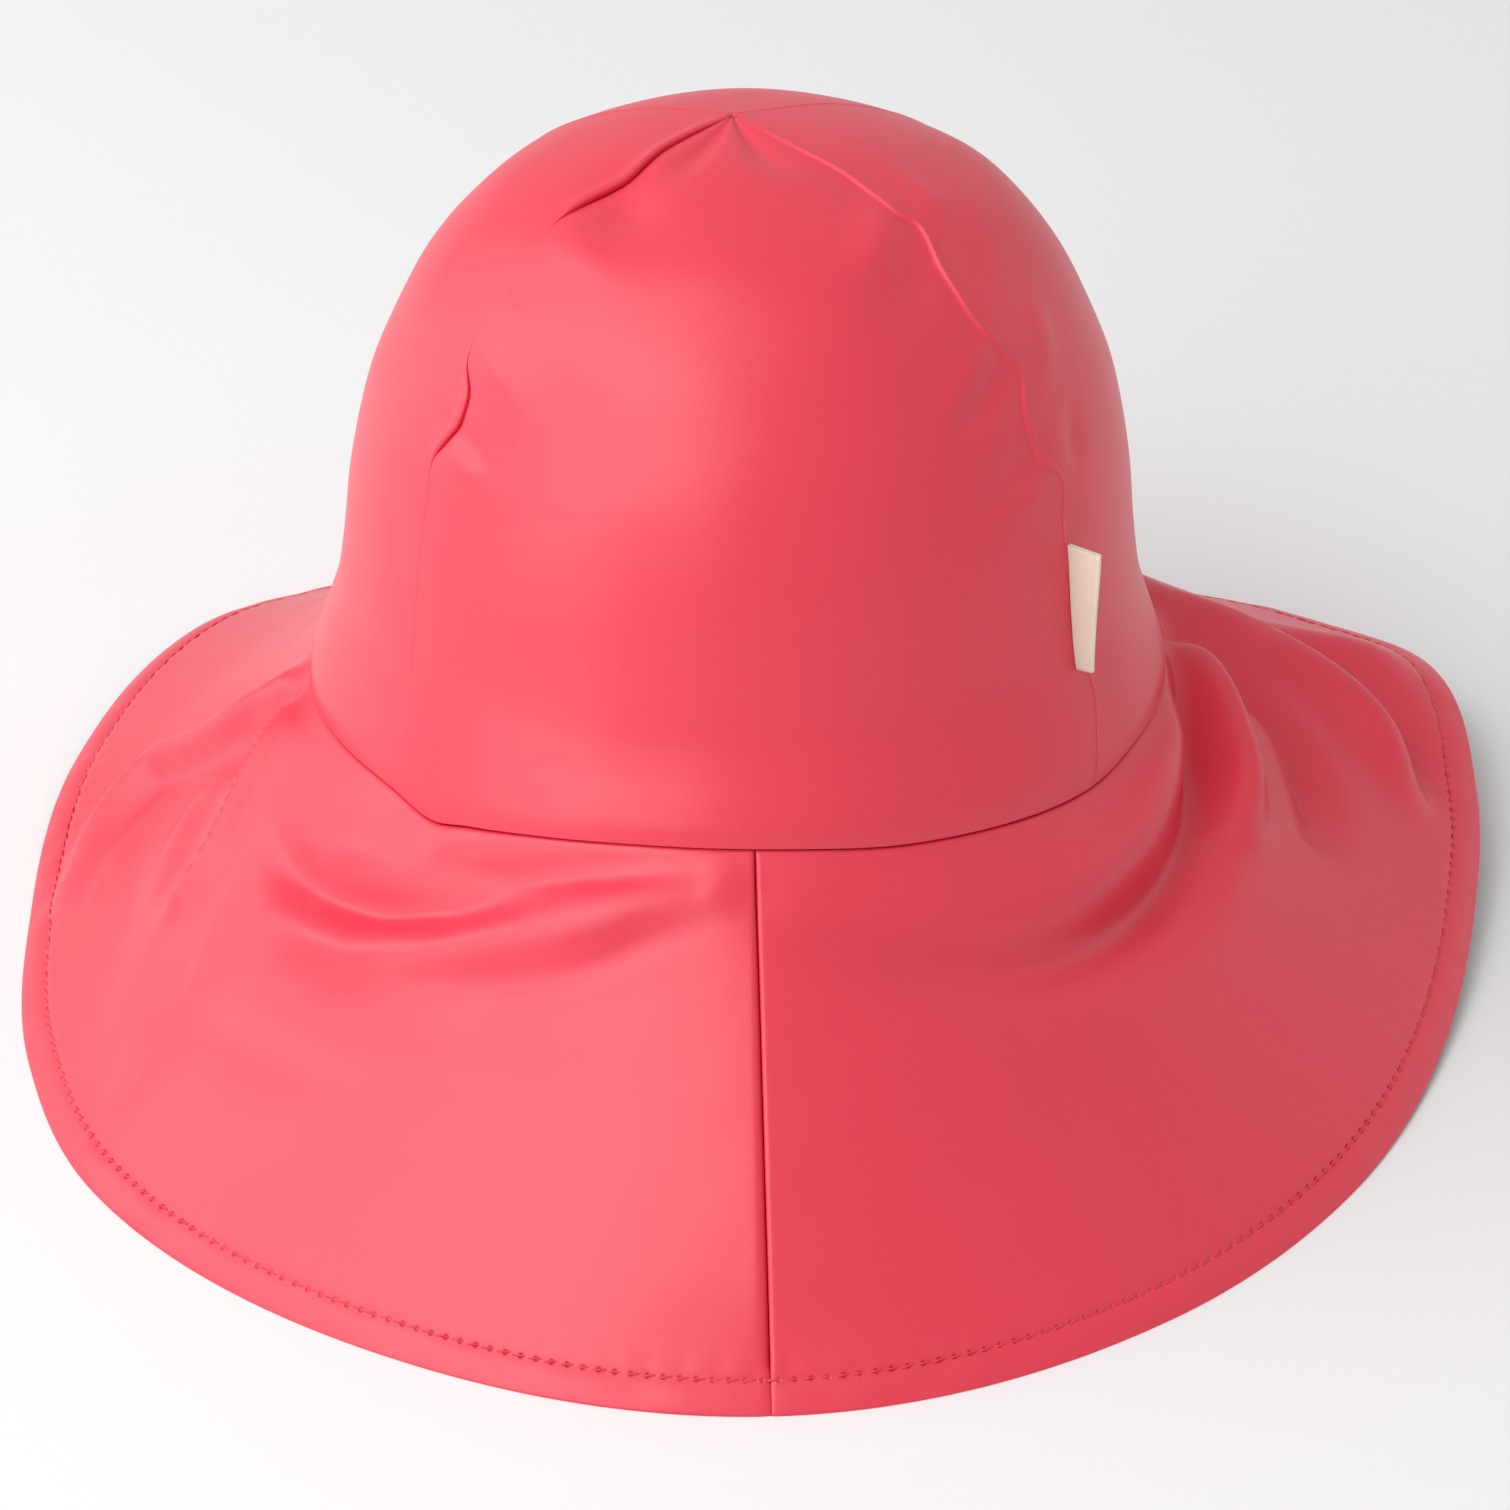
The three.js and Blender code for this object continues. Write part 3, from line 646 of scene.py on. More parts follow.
def label_ribbon():
    material, tree = new_material("cream_ribbon")
    cloth = add_node(tree, "ShaderNodeUVMap", {"uv_map": "cloth"})[0]
    split = add_node(tree, "ShaderNodeSeparateXYZ", None, {0: cloth})
    slant = (split[0] + split[1] * RIB_SLANT) * (2 * math.pi / (RIB_PITCH * MM))
    rib = math_node(tree, "SINE", slant) * 0.5 + 0.5
    # Painted shade: the cream is deeper in the ribs' hollows, where the bump is lowest
    finish_material(tree, Base_Color=blend(tree, rib, CREAM_HOLLOW_SHADE, CREAM), Roughness=0.75,
                    Normal=bump(tree, RIB_HEIGHT * MM * rib))
    return material


ribbon = label_ribbon()
print("finishes", [finish.name for finish in (panel_cloth, backing, thread, ribbon)])

# %% [markdown]
# A crown panel is a closed wall of cloth between two seams. Its points lie closest beside the
# seams, because there the cloth turns in: a rounded edge, and a groove whose depth changes along
# the seam. Beside a groove one panel may stand a little proud of its neighbour. A groove drawn in
# a bump texture would be quicker, but it would vanish at the outline.

# %% The crown's seams
# Where each crown seam runs: way and azimuth
SEAMS = {
    "left_back": [(0.0, -47), (0.10, -51), (0.25, -54.5), (0.46, -55.5), (0.51, -56.2), (0.54, -54.5),
                  (0.565, -53), (0.60, -53), (0.635, -56.3), (0.72, -56.5), (0.84, -55.5),
                  (0.87, -53.5), (0.90, -50.5), (0.94, -52), (1.0, -52)],
    "right_back": [(0.0, 49.5), (0.11, 51.5), (0.20, 53.5), (0.33, 51), (0.43, 50), (0.48, 51.5),
                   (0.515, 48), (0.55, 46.5), (0.58, 46.8), (0.615, 48.5), (0.65, 45.5), (0.68, 43),
                   (0.72, 42), (0.77, 42), (0.805, 44), (0.82, 44.5), (0.835, 41.5), (0.86, 41),
                   (0.90, 41), (0.94, 38), (1.0, 38)],
    "right_front": [(0.0, 128), (1.0, 128)],
    "left_front": [(0.0, 232), (1.0, 232)],
}

# Beside each seam, by way: how far the edge falls and over what width, then how far the edge of the
# panel before the seam and of the one after it stands proud of the crown, all in mm
SEAM_EDGES = {
    "left_back": [
        (0.00, 0.10, 0.25, 0.00, 0.00), (0.46, 0.10, 0.25, 0.00, 0.00),
        (0.51, 0.30, 0.50, 0.10, 0.00), (0.54, 0.60, 0.90, 0.50, -0.30),
        (0.60, 0.60, 0.90, 0.40, -0.20), (0.645, 0.10, 0.25, 0.05, 0.00),
        (0.81, 0.10, 0.25, 0.05, 0.00), (0.845, 0.60, 0.90, 0.60, -0.50),
        (0.88, 0.70, 1.00, 0.80, -0.50), (0.94, 0.60, 0.90, 0.70, -0.30),
        (1.00, 0.50, 0.80, 0.50, -0.20),
    ],
    "right_back": [
        (0.00, 0.25, 0.50, 0.10, 0.10), (0.40, 0.30, 0.50, 0.15, 0.15),
        (0.48, 0.25, 0.50, 0.20, 0.20), (0.51, 0.05, 0.20, 0.65, 0.65),
        (0.95, 0.05, 0.20, 0.60, 0.60), (1.00, 0.20, 0.40, 0.20, 0.20),
    ],
    "right_front": [
        (0.00, 0.10, 0.30, 0.15, 0.15), (0.85, 0.20, 0.40, 0.20, 0.20),
        (1.00, 0.30, 0.50, 0.30, 0.10),
    ],
    "left_front": [
        (0.00, 0.10, 0.30, 0.15, 0.15), (0.85, 0.20, 0.40, 0.20, 0.20),
        (1.00, 0.30, 0.50, 0.10, 0.30),
    ],
}
print("seams", list(SEAMS))

# %% Crown panels
PANELS = [
    ("crown_back_panel", "left_back", "right_back"),
    ("crown_right_panel", "right_back", "right_front"),
    ("crown_front_panel", "right_front", "left_front"),
    ("crown_left_panel", "left_front", "left_back"),
]
CROWN_WALL = 1.2
TOP_HOLE = 0.35
HALF_SEAM = 0.015
PANEL_COLUMNS, COLUMN_CROWDING = 121, 1.7
PANEL_EDGE_STEPS, PANEL_STEP = [0.1, 0.15, 0.25, 0.35, 0.5, 0.7, 0.9], 1.3
PROUD_FADE = 8.0
GROOVE_FALL, GROOVE_PROUD_WIDTH, RIDGE_WIDTH = 0.4, 2.2, 0.6
FOOT_ROUND, FOOT_DROP = 0.9, 0.6
CROWN_RIPPLE, CROWN_RIPPLE_LENGTH, CROWN_RIPPLE_SEED = 0.12, 26, 5


def rounded_edge(distance, radius, drop):
    """How far a turned edge falls in, in mm, at a distance from it."""
    share = np.clip(1 - distance / radius, 0, 1)
    return drop * (1 - np.sqrt(1 - share ** 2))


def panel_rows():
    """The rows of a panel, up to the tiny hole at the top: mm of cloth from its foot, and way."""
    ways = np.linspace(0, 1, 401)
    back = crown_point(np.zeros(401), ways, 0.0)
    length = np.linalg.norm(np.diff(back, axis=0), axis=-1).sum()
    heights = spread(length, PANEL_EDGE_STEPS, PANEL_STEP)
    ways = np.linspace(0.5, 1, 4001)
    top_way = ways[np.argmax(spline(CROWN_SECTION, ways)[:, 0] * CROWN_WIDTH / 2 < TOP_HOLE)]
    return heights[None, :], (heights / heights[-1] * top_way)[None, :]


def crown_panel(name, start_seam, end_seam):
    heights, way = panel_rows()
    start, end = through(SEAMS[start_seam], way), through(SEAMS[end_seam], way)
    end = end + 360 * (end < start)
    radius = CROWN_WIDTH / 2 * spline(CROWN_SECTION, way)[..., 0]
    margin = np.degrees(HALF_SEAM / radius)
    t = np.linspace(-1, 1, PANEL_COLUMNS)[:, None]
    share = 0.5 + 0.5 * np.sign(t) * (1 - (1 - np.abs(t)) ** COLUMN_CROWDING)
    azimuth = start + margin + share * (end - start - 2 * margin)
    way = np.broadcast_to(way, azimuth.shape)
    from_foot = np.broadcast_to(heights, azimuth.shape)
    puckered = pucker_height(azimuth, way)
    out = puckered
    for seam, at, side in ((start_seam, start, 1), (end_seam, end, 0)):
        distance = np.radians(np.abs(azimuth - at)) * radius
        fall, fall_width = through(SEAM_EDGES[seam], way, 1), through(SEAM_EDGES[seam], way, 2)
        proud = through(SEAM_EDGES[seam], way, 3 + side) * np.clip(radius / PROUD_FADE, 0, 1)
        proud_width = np.where(fall > GROOVE_FALL, GROOVE_PROUD_WIDTH, RIDGE_WIDTH)
        out = out - rounded_edge(distance, fall_width, fall) + proud * bell(distance, proud_width)
    out = out - rounded_edge(from_foot, FOOT_ROUND, FOOT_DROP)
    spot = crown_point(azimuth, way, 0.0)
    out = out + CROWN_RIPPLE * ripple(spot, CROWN_RIPPLE_LENGTH, CROWN_RIPPLE_SEED)
    outer = crown_point(azimuth, way, out)
    inner = crown_point(azimuth, way, puckered - CROWN_WALL)
    plan_uv = np.stack([np.radians(azimuth) * CROWN_WIDTH / 2, from_foot], -1) * MM
    piece = shell(name + "_cloth", outer, inner, plan_uv, [panel_cloth, backing])
    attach(piece, "root")
    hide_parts(name)
    return piece


crown_pieces = [crown_panel(*row) for row in PANELS]
print("crown", [len(piece.data.polygons) for piece in crown_pieces])

# %% [markdown]
# The brim is one wall of cloth whose two ends meet in the back seam. At the hem the cloth is folded
# under, so the edge is round and the band thicker. The needle has drawn the cloth in along the
# stitch line, which leaves a puffed band below it and small puckers above it. All of this could be
# displacement in the material, but the stitches have to lie on it, so it is in the mesh.

# %% The hem's length and the stitches on it
STITCH_PITCH = 3.0
hem_path_azimuth = np.linspace(-180, 180, 2881)
hem_step = np.linalg.norm(np.diff(brim_bottom(hem_path_azimuth), axis=0), axis=-1)
hem_travel = np.concatenate([[0], np.cumsum(hem_step)])
hem_travel -= np.interp(0, hem_path_azimuth, hem_travel)
hem_length = hem_travel[-1] - hem_travel[0]
TRUE_PITCH = hem_length / round(hem_length / STITCH_PITCH)
brim_cloth = coated_cloth("brim_cloth", TRUE_PITCH)
print("hem", round(hem_length, 1), "mm, a stitch every", round(TRUE_PITCH, 3), "mm")

# %% The brim's face
HEM_WIDTH, HEM_WALL = 7.0, 1.7
TOP_ROUND, TOP_DROP = 0.8, 0.5

# The back seam: a deep fall on its left, a small one with a fine scallop on its right
LEFT_ROUND, LEFT_ROUND_GROWTH, LEFT_DROP = 1.1, 1.5, 1.9
RIGHT_ROUND, RIGHT_DROP, SCALLOP, SCALLOP_PITCH = 0.9, 0.7, 0.12, 2.6
HEM_SHARE, HEM_FADE_BELOW, HEM_FADE_ABOVE = 0.35, 0.5, 2.5

# The hem, each place as a distance from its edge
NEEDLE_DIP, NEEDLE_BEAT, NEEDLE_WIDTH = 0.22, 0.08, 0.9
PUFF, PUFF_PLACE, PUFF_WIDTH, PUFF_LENGTH, PUFF_SEED = 0.18, 3.2, 1.8, 9.0, 3
PUCKER_HEIGHT, PUCKER_PLACE, PUCKER_WIDTH = 0.13, 8.5, 2.2
PUCKER_PITCH, PUCKER_DRIFT, PUCKER_SEED = 6.5, 40.0, 8


def back_seam_fall(side, way, from_top, from_hem, from_seam):
    """How far the cloth falls in beside the back seam. It falls less where the hem is folded."""
    left = side < 0
    scallop = SCALLOP * np.cos(2 * math.pi * from_top / SCALLOP_PITCH)
    width = np.where(left, LEFT_ROUND + LEFT_ROUND_GROWTH * way, RIGHT_ROUND + scallop)
    drop = np.where(left, LEFT_DROP, RIGHT_DROP)
    above_hem = smooth_step(from_hem, HEM_WIDTH - HEM_FADE_BELOW, HEM_WIDTH + HEM_FADE_ABOVE)
    return rounded_edge(from_seam, width, drop) * (HEM_SHARE + (1 - HEM_SHARE) * above_hem)


def hem_relief(travel, from_hem):
    """The needle's dip, the puffed band below it and the puckers above it."""
    dip = NEEDLE_DIP + NEEDLE_BEAT * np.cos(2 * math.pi * travel / TRUE_PITCH)
    puff = PUFF * (1 + ripple_line(travel, PUFF_LENGTH, PUFF_SEED))
    phase = 2 * math.pi * travel / PUCKER_PITCH + ripple_line(travel, PUCKER_DRIFT, PUCKER_SEED)
    return (puff * bell(from_hem - PUFF_PLACE, PUFF_WIDTH)
            - dip * bell(from_hem - STITCH_INSET, NEEDLE_WIDTH)
            + PUCKER_HEIGHT * np.cos(phase) * bell(from_hem - PUCKER_PLACE, PUCKER_WIDTH))


def brim_outer(azimuth, way, length):
    """How far the brim's face stands off the middle of its wall, in mm."""
    side = (azimuth + 180) % 360 - 180
    from_top, from_hem = way * length, (1 - way) * length
    radius = np.linalg.norm(brim_middle(azimuth, way)[..., :2], axis=-1)
    from_seam = np.radians(np.abs(side)) * radius
    travel = np.interp(side, hem_path_azimuth, hem_travel)
    return (BRIM_WALL / 2 - rounded_edge(from_top, TOP_ROUND, TOP_DROP)
            - back_seam_fall(side, way, from_top, from_hem, from_seam)
            + hem_relief(travel, from_hem))


# %% The brim's grid and its inner side
SEAM_STEPS = [0.012, 0.03, 0.05, 0.07, 0.1, 0.12, 0.15, 0.2, 0.25, 0.3]  # degrees from the seam
COLUMN_STEP = 0.78  # degrees
TOP_ROWS = [0, 0.1, 0.25, 0.5, 0.8, 1.2, 1.8, 2.6]  # mm from the seam under the crown
MIDDLE_ROWS = 50
HEM_ROWS = [0, 0.08, 0.2, 0.4, 0.7, 1.1, 1.7, 2.4, 3.2, 4.0, 4.7, 5.2, 5.6, 6.0, 6.4, 6.8, 7.2,
            7.8, 8.6, 9.6]  # mm from the edge
HEM_ROUND = 0.7
FOLD_ENDS = (7.4, 6.9)  # mm from the edge: outside the fold, and in it

# The cloth turned in under the back seam, in mm, and the way at which it starts
ALLOWANCE, ALLOWANCE_WIDTH, ALLOWANCE_EDGE, ALLOWANCE_START = 1.5, 6.0, 0.5, 0.05


def brim_grid():
    """Azimuth, way and the slope's length. Rows and columns are closest beside the edges."""
    half = spread(180.0, SEAM_STEPS, COLUMN_STEP)
    azimuth = np.concatenate([half, 360 - half[-2::-1]])
    gap = math.degrees(HALF_SEAM / (CROWN_LENGTH / 2))
    azimuth[0] += gap
    azimuth[-1] -= gap
    azimuth = np.where(azimuth > 180, azimuth - 360, azimuth)[:, None]
    length = np.linalg.norm(brim_bottom(azimuth) - brim_top(azimuth), axis=-1)
    near_top = np.array(TOP_ROWS)[None, :] / length
    near_hem = 1 - np.array(HEM_ROWS)[None, ::-1] / length
    share = np.linspace(0, 1, MIDDLE_ROWS)[None, 1:-1]
    between = near_top[:, -1:] + (near_hem[:, :1] - near_top[:, -1:]) * share
    way = np.concatenate([near_top, between, near_hem], axis=1)
    return np.broadcast_to(azimuth, way.shape), way, length


def brim_under(azimuth, way, from_hem, radius):
    """How far the inner side lies off the middle: more in the hem, and in the seam's allowance."""
    folded = smooth_step(from_hem, *FOLD_ENDS)
    inside = ALLOWANCE_WIDTH - np.radians(np.abs(azimuth)) * radius
    allowance = ALLOWANCE * smooth_step(inside, -ALLOWANCE_EDGE, ALLOWANCE_EDGE)
    allowance = allowance * (1 - folded) * np.clip(way / ALLOWANCE_START, 0, 1)
    return BRIM_WALL / 2 + (HEM_WALL - BRIM_WALL) * folded + allowance


# %% Brim
BRIM_RIPPLE, BRIM_RIPPLE_LENGTH, BRIM_RIPPLE_SEED, BRIM_RIPPLE_FADE = 0.10, 24, 9, 6


def make_brim():
    azimuth, way, length = brim_grid()
    from_hem = (1 - way) * length
    middle = brim_middle(azimuth, way)
    radius = np.linalg.norm(middle[..., :2], axis=-1)
    direction = through_brim(azimuth, way, 1 - HEM_WIDTH / length)
    rounding = np.sqrt(1 - np.clip(1 - from_hem / (HEM_ROUND * HEM_WALL), 0, 1) ** 2)
    uneven = BRIM_RIPPLE * ripple(middle, BRIM_RIPPLE_LENGTH, BRIM_RIPPLE_SEED)
    uneven = uneven * (1 - np.exp(-from_hem / BRIM_RIPPLE_FADE))
    out = brim_outer(azimuth, way, length) * rounding + uneven
    under = brim_under(azimuth, way, from_hem, radius) * rounding
    outer = middle + direction * out[..., None]
    inner = middle - direction * under[..., None]
    outer[..., 2] = np.maximum(outer[..., 2], 0)
    inner[..., 2] = np.maximum(inner[..., 2], 0)
    travel = np.interp(azimuth, hem_path_azimuth, hem_travel)
    plan_uv = np.stack([travel, from_hem], -1) * MM
    upwards = slice(None, None, -1)
    piece = shell("brim_cloth", outer[:, upwards], inner[:, upwards], plan_uv[:, upwards],
                  [brim_cloth, backing])
    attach(piece, "root")
    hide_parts("brim")
    return piece


brim_piece = make_brim()
print("brim", len(brim_piece.data.polygons))

# %% [markdown]
# A lockstitch is the same small arc of thread again and again along a line. An array modifier on a
# curve could repeat it, but it can't turn each stitch out of the cloth, so Geometry Nodes lay it.
# One tree takes a line of points with their outward directions, counts the stitches that fit the
# pitch, and sets a bent piece of thread on each.

# %% A tree that sews a line
ARC_STEPS, THREAD_SIDES, WOBBLE_SEED = 8, 6, 11


def stitch_tree():
    tree = bpy.data.node_groups.new("stitch_line", "GeometryNodeTree")
    face = tree.interface
    face.new_socket("Geometry", in_out="INPUT", socket_type="NodeSocketGeometry")
    for name, value in (("Pitch", 0.003), ("Length", 0.0024), ("Rise", 0.0003), ("Radius", 0.0002),
                        ("Slant", 0.1), ("Wobble", 0.06)):
        face.new_socket(name, in_out="INPUT", socket_type="NodeSocketFloat").default_value = value
    face.new_socket("Thread", in_out="INPUT", socket_type="NodeSocketMaterial")
    face.new_socket("Geometry", in_out="OUTPUT", socket_type="NodeSocketGeometry")
    given = add_node(tree, "NodeGroupInput")
    line = add_node(tree, "GeometryNodeMeshToCurve", None, {"Mesh": given["Geometry"]})[0]
    length = add_node(tree, "GeometryNodeCurveLength", None, {"Curve": line})[0]
    count = math_node(tree, "ROUND", length / given["Pitch"])
    even = add_node(tree, "GeometryNodeResampleCurve", {"mode": "COUNT"},
                    {"Curve": line, "Count": count})[0]
    up = add_node(tree, "GeometryNodeInputNamedAttribute", {"data_type": "FLOAT_VECTOR"},
                  {"Name": "up"})[0]
    tangent = add_node(tree, "GeometryNodeInputTangent")[0]
    aim = add_node(tree, "FunctionNodeAxesToRotation", {"primary_axis": "Z", "secondary_axis": "X"},
                   {"Primary Axis": up, "Secondary Axis": tangent})[0]
    wobble = add_node(tree, "FunctionNodeRandomValue", {"data_type": "FLOAT"},
                      {2: 0.0 - given["Wobble"], 3: given["Wobble"], "Seed": WOBBLE_SEED})[1]
    turn = add_node(tree, "ShaderNodeCombineXYZ", None, {2: wobble + given["Slant"]})[0]
    twist = add_node(tree, "FunctionNodeEulerToRotation", None, {0: turn})[0]
    aimed = add_node(tree, "FunctionNodeRotateRotation", {"rotation_space": "LOCAL"},
                     {"Rotation": aim, "Rotate By": twist})[0]
    half = given["Length"] * 0.5
    start = add_node(tree, "ShaderNodeCombineXYZ", None, {0: 0.0 - half, 2: 0.0 - given["Rise"]})[0]
    crest = add_node(tree, "ShaderNodeCombineXYZ", None, {2: given["Rise"] * 2.0})[0]
    end = add_node(tree, "ShaderNodeCombineXYZ", None, {0: half, 2: 0.0 - given["Rise"]})[0]
    arc = add_node(tree, "GeometryNodeCurveQuadraticBezier", None,
                   {"Resolution": ARC_STEPS, "Start": start, "Middle": crest, "End": end})[0]
    ring = add_node(tree, "GeometryNodeCurvePrimitiveCircle", None,
                    {"Resolution": THREAD_SIDES, "Radius": given["Radius"]})[0]
    stitch = add_node(tree, "GeometryNodeCurveToMesh", None,
                      {"Curve": arc, "Profile Curve": ring, "Fill Caps": True})[0]
    laid = add_node(tree, "GeometryNodeInstanceOnPoints", None,
                    {"Points": even, "Instance": stitch, "Rotation": aimed})[0]
    real = add_node(tree, "GeometryNodeRealizeInstances", None, {"Geometry": laid})[0]
    soft = add_node(tree, "GeometryNodeSetShadeSmooth", None, {0: real})[0]
    clad = add_node(tree, "GeometryNodeSetMaterial", None,
                    {"Geometry": soft, "Material": given["Thread"]})[0]
    add_node(tree, "NodeGroupOutput", None, {0: clad})
    return tree


sewing = stitch_tree()
print("sewing tree", len(sewing.nodes), "nodes")


# %% A line of stitches as a plain mesh
def sew(name, points, ups, **sizes):
    """points is an array in mm, ups their outward directions, and sizes are the tree's inputs."""
    mesh = bpy.data.meshes.new(name + "_line")
    pairs = [(i, i + 1) for i in range(len(points) - 1)]
    mesh.from_pydata([Vector(p) for p in (points - MIDDLE) * MM], pairs, [])
    outwards = mesh.attributes.new("up", "FLOAT_VECTOR", "POINT")
    outwards.data.foreach_set("vector", ups.astype(np.float32).ravel())
    guide = add_object(name + "_guide", mesh)
    modifier = guide.modifiers.new("sewing", "NODES")
    modifier.node_group = sewing
    sockets = {item.name: item.identifier for item in sewing.interface.items_tree
               if item.in_out == "INPUT"}
    modifier[sockets["Thread"]] = thread
    for size, value in sizes.items():
        modifier[sockets[size]] = value
    bpy.context.view_layer.update()
    evaluated = guide.evaluated_get(bpy.context.evaluated_depsgraph_get())
    made = bpy.data.meshes.new_from_object(evaluated)
    made.name = name
    guide.modifiers.remove(modifier)
    bpy.data.objects.remove(guide)
    piece = add_object(name, made)
    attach(piece, "root")
    print(name, len(made.polygons), "faces")


# %% [markdown]
# The hem's stitches show on both sides of the brim, so two lines are sewn: the needle's thread lies
# in the dip of the face, and the bobbin's thread lies flat under the folded edge.

# %% Hem stitches, above and below
SEAM_CLEARANCE, GUIDE_POINTS = 0.25, 1441


def hem_stitch_line(side):
    """Points and outward directions along the hem, on its face for side 1, under it for -1."""
    azimuth = np.linspace(SEAM_CLEARANCE, 360 - SEAM_CLEARANCE, GUIDE_POINTS)
    azimuth = np.where(azimuth > 180, azimuth - 360, azimuth)
    length = np.linalg.norm(brim_bottom(azimuth) - brim_top(azimuth), axis=-1)
    way = 1 - STITCH_INSET / length
    direction = through_brim(azimuth, way, 1 - HEM_WIDTH / length)
    out = brim_outer(azimuth, way, length) if side > 0 else -(HEM_WALL - BRIM_WALL / 2)
    points = brim_middle(azimuth, way) + direction * (np.zeros(azimuth.shape) + out)[:, None]
    return points, direction * side


sew("hem_stitches", *hem_stitch_line(1), Pitch=TRUE_PITCH * MM, Length=2.5 * MM,
    Rise=0.16 * MM, Radius=0.19 * MM, Slant=0.12)
sew("hem_stitches_under", *hem_stitch_line(-1), Pitch=TRUE_PITCH * MM, Length=2.6 * MM,
    Rise=0.14 * MM, Radius=0.17 * MM, Slant=-0.05)

# %% [markdown]
# The side label is a bare cream ribbon, folded once round its outer edge and caught in the seam at
# the wearer's right. Its upper end stands out and its lower end lies over, so it twists a little.
# A bent plane with Solidify would do, but the loop drawn here, out, round and back, keeps the two
# layers apart as on the real one.

# %% Side label
LABEL_HEIGHT, LABEL_REACH, LABEL_THICKNESS, RIBBON = 25.0, 7.0, 0.9, 0.25
LABEL_CENTRE = 0.33
LABEL_SWEEP, SWEEP_CURVE, LABEL_TUCK = 0.6, 1.5, 0.55
LABEL_BASE = 0.1
LABEL_ROWS, LOOP_COLUMNS = 41, 61
SAMPLE_WAY = 0.01


def ribbon_loop():
    """The folded ribbon in section: travel round it, reach, side and the direction of travel."""
    bend = LABEL_THICKNESS / 2 - RIBBON / 2
    straight = LABEL_REACH - bend
    total = 2 * straight + math.pi * bend
    travel = np.linspace(0, 1, LOOP_COLUMNS)[:, None] * total
    going, coming = travel < straight, travel > total - straight
    turn = np.clip((travel - straight) / (math.pi * bend), 0, 1) * math.pi
    round_end = straight + bend * np.sin(turn)
    reach = np.where(going, travel, np.where(coming, total - travel, round_end))
    forwards = np.where(going, 1, np.where(coming, -1, np.cos(turn)))
    sidewards = np.where(going | coming, 0, np.sin(turn))
    return travel, reach, -bend * np.cos(turn), forwards, sidewards


def make_label():
    azimuth = float(through(SEAMS["right_back"], np.array(LABEL_CENTRE)))
    angle = math.radians(azimuth)
    outwards = np.array([math.sin(angle), -math.cos(angle), 0])
    sideways = np.array([math.cos(angle), math.sin(angle), 0])
    ends = crown_point(np.full(2, azimuth), LABEL_CENTRE + np.array([-1, 1]) * SAMPLE_WAY, 0.0)
    way_per_mm = 2 * SAMPLE_WAY / np.linalg.norm(ends[1] - ends[0])
    up = np.linspace(0, 1, LABEL_ROWS)[None, :]
    way = LABEL_CENTRE + (up - 0.5) * LABEL_HEIGHT * way_per_mm
    base = crown_point(np.broadcast_to(azimuth, way.shape), way, LABEL_BASE)
    travel, reach, side, forwards, sidewards = ribbon_loop()
    grids = []
    for offset in (RIBBON / 2, -RIBBON / 2):
        along = reach + sidewards * offset
        across = side - forwards * offset
        sweep = LABEL_SWEEP * (1 - up) * np.clip(along / LABEL_REACH, 0, 1) ** SWEEP_CURVE
        out = along * (1 - LABEL_TUCK * (1 - up))
        grids.append(base + out[..., None] * outwards + (across + sweep)[..., None] * sideways)
    plan_uv = np.stack(np.broadcast_arrays(travel, up * LABEL_HEIGHT), -1) * MM
    piece = shell("side_label_ribbon", grids[0], grids[1], plan_uv, [ribbon, ribbon])
    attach(piece, "root")
    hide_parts("side_label")
    return piece


label_piece = make_label()
print("label", len(label_piece.data.polygons))

# %% [markdown]
# The photograph was taken a little above the hat, from behind, with a long lens. The camera stands
# where its pixels say, so the hat fills the same part of the frame. It could be moved by hand until
# the picture fits, but a scale and one measured place give it at once.

# %% Camera
FRAME_PIXELS, SENSOR = 1510, 36
VIEW_AZIMUTH, VIEW_ELEVATION = -3.2, 33.0
VIEW_DISTANCE = 1100.0
MM_PER_PIXEL = 0.195
SEAM_CENTRE_PIXEL = (738, 660)
azimuth, elevation = math.radians(VIEW_AZIMUTH), math.radians(VIEW_ELEVATION)
back = Vector((math.sin(azimuth) * math.cos(elevation), -math.cos(azimuth) * math.cos(elevation),
               math.sin(elevation)))
right = Vector((math.cos(azimuth), math.sin(azimuth), 0))
above = back.cross(right)
centre = Vector((0, 0, SEAM_HEIGHT)) - Vector(MIDDLE)
across = (SEAM_CENTRE_PIXEL[0] - FRAME_PIXELS / 2) * MM_PER_PIXEL
upwards = (FRAME_PIXELS / 2 - SEAM_CENTRE_PIXEL[1]) * MM_PER_PIXEL
camera_data = bpy.data.cameras.new("camera")
camera_data.sensor_width = SENSOR
camera_data.lens = SENSOR * VIEW_DISTANCE / MM_PER_PIXEL / FRAME_PIXELS
camera_data.clip_start, camera_data.clip_end = 0.05, 50
camera = add_object("camera", camera_data)
camera.location = (centre + back * VIEW_DISTANCE - right * across - above * upwards) * MM
camera.rotation_mode = "QUATERNION"
camera.rotation_quaternion = (-back).to_track_quat("-Z", "Y")
bpy.context.scene.camera = camera
print("lens", round(camera_data.lens), "mm")

# %% [markdown]
# The hat stands on a plain pale floor, which is stage and no part of it. The light is a studio's.
# Five square soft boxes stand close around the left side, so the left of every fold shines and its
# right stays deep red. A weak one at the right lines the crown's edge, and pale surroundings fill
# the rest. One large box would light the hat too, but its folds would look flat.

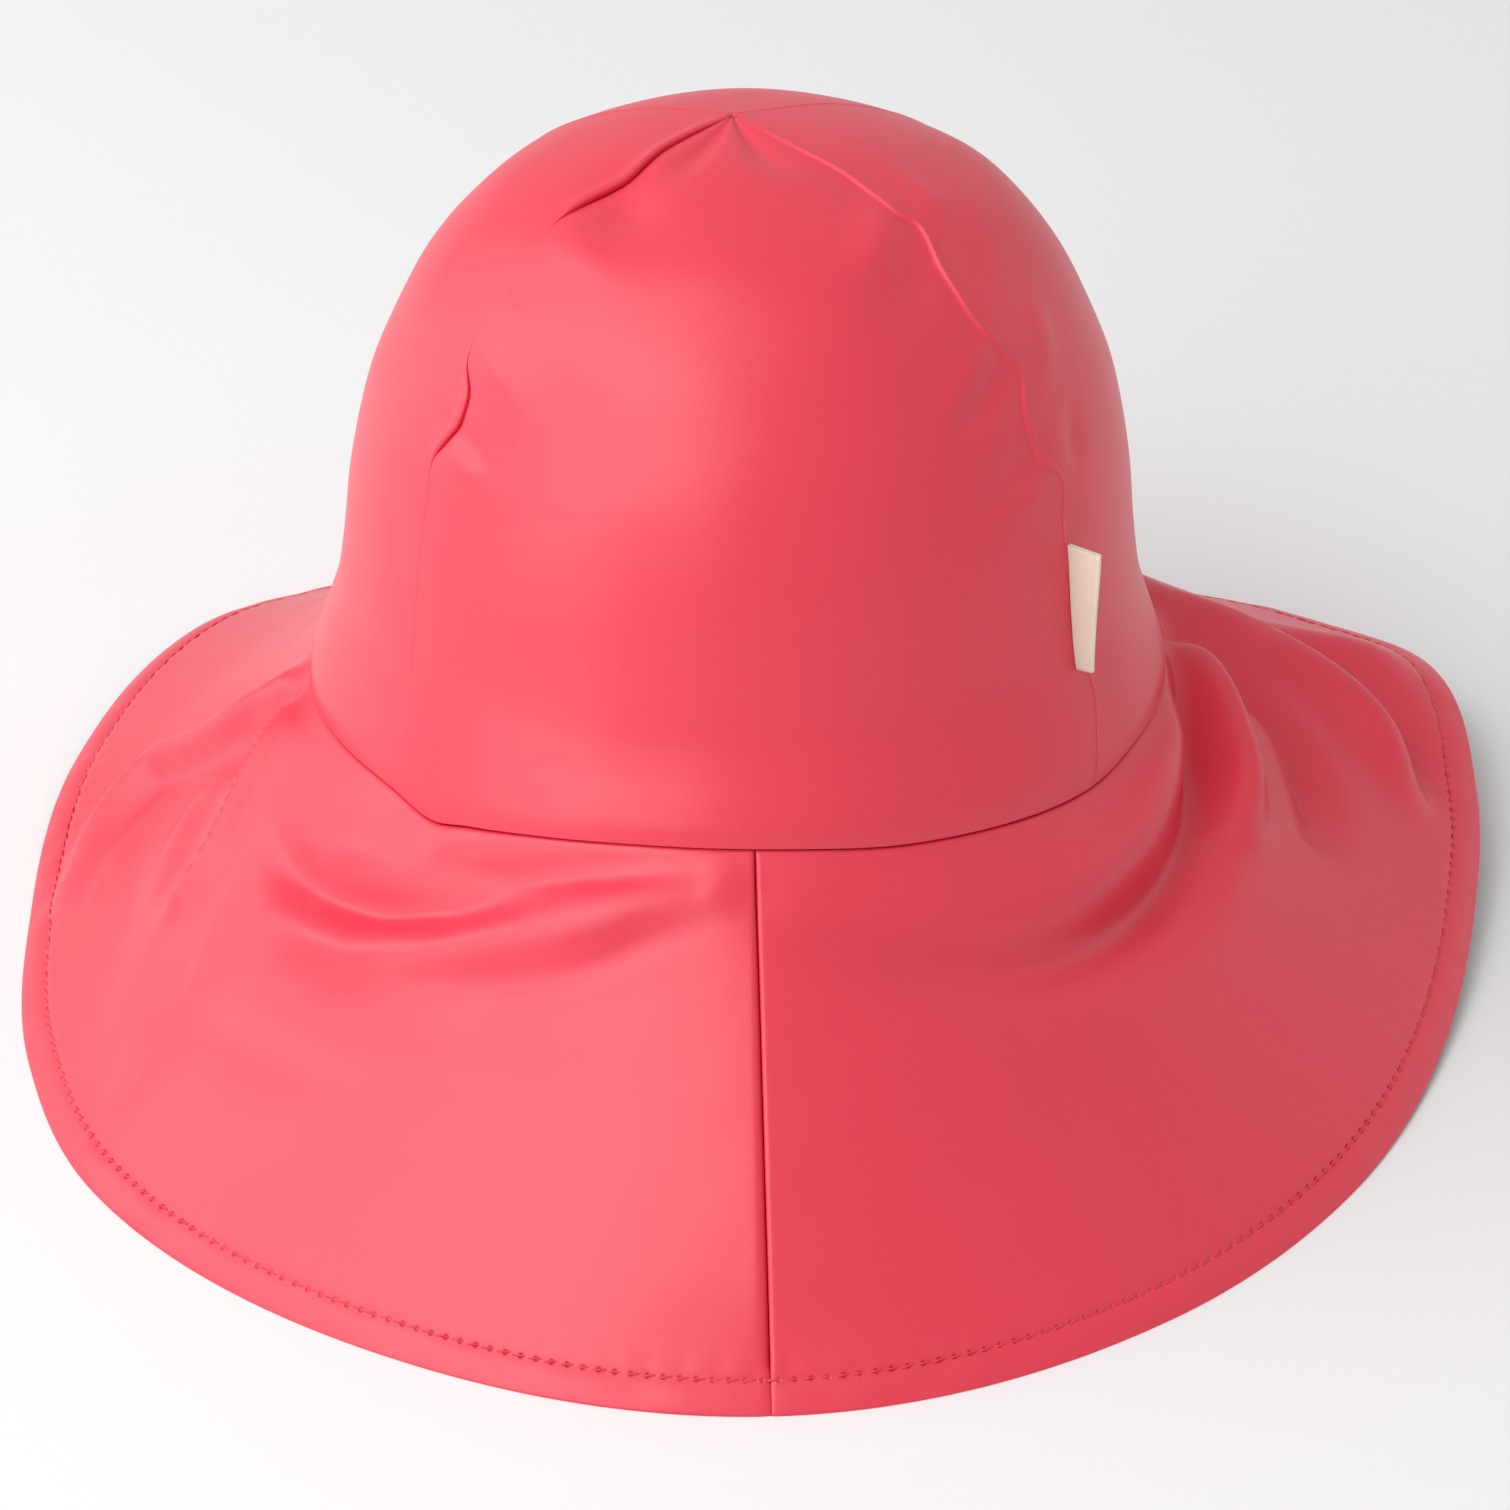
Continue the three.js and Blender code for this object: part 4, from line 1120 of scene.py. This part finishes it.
# %% Floor
FLOOR_HALF = 4.0
FLOOR_GREY, FLOOR_ROUGHNESS = (0.86, 0.86, 0.86, 1), 0.9

floor_mesh = bpy.data.meshes.new("floor")
corners = [(x * FLOOR_HALF, y * FLOOR_HALF, 0) for x, y in ((-1, -1), (1, -1), (1, 1), (-1, 1))]
floor_mesh.from_pydata(corners, [], [(0, 1, 2, 3)])
floor = add_object("floor", floor_mesh)
floor_material, floor_tree = new_material("pale_floor")
finish_material(floor_tree, Base_Color=FLOOR_GREY, Roughness=FLOOR_ROUGHNESS)
floor_mesh.materials.append(floor_material)
print("floor", 2 * FLOOR_HALF, "m wide")

# %% Light
BOX_DISTANCE, BOX_SIZE, BOX_AIM = 1.35, 0.95, Vector((0, 0, 0.08))
SURROUNDINGS = 0.56

# Soft boxes: name, azimuth and elevation in degrees as seen from the hat, power in watts
SOFT_BOXES = [
    ("high_left", -60, 62, 3.6),
    ("back_left", -116, 14, 2.4),
    ("left", -96, 40, 4.8),
    ("front_left", -40, 38, 5.4),
    ("low_left", -62, 7, 3.9),
    ("low_right", 112, 12, 0.9),
]


def soft_box(name, azimuth, elevation, power):
    turn, rise = math.radians(azimuth), math.radians(elevation)
    towards = Vector((math.sin(turn) * math.cos(rise), -math.cos(turn) * math.cos(rise),
                      math.sin(rise)))
    data = bpy.data.lights.new(name, "AREA")
    data.shape = "SQUARE"
    data.size = BOX_SIZE
    data.energy = power
    light = add_object(name, data)
    light.location = BOX_AIM + towards * BOX_DISTANCE
    light.rotation_mode = "QUATERNION"
    light.rotation_quaternion = (-towards).to_track_quat("-Z", "Y")


for row in SOFT_BOXES:
    soft_box(*row)

world = bpy.data.worlds.new("studio")
bpy.context.scene.world = world
world.use_nodes = True
background = world.node_tree.nodes["Background"].inputs
background["Color"].default_value = (1, 1, 1, 1)
background["Strength"].default_value = SURROUNDINGS
bpy.context.scene.view_settings.view_transform = "Standard"
bpy.context.scene.view_settings.look = "None"
print("soft boxes", [row[0] for row in SOFT_BOXES])
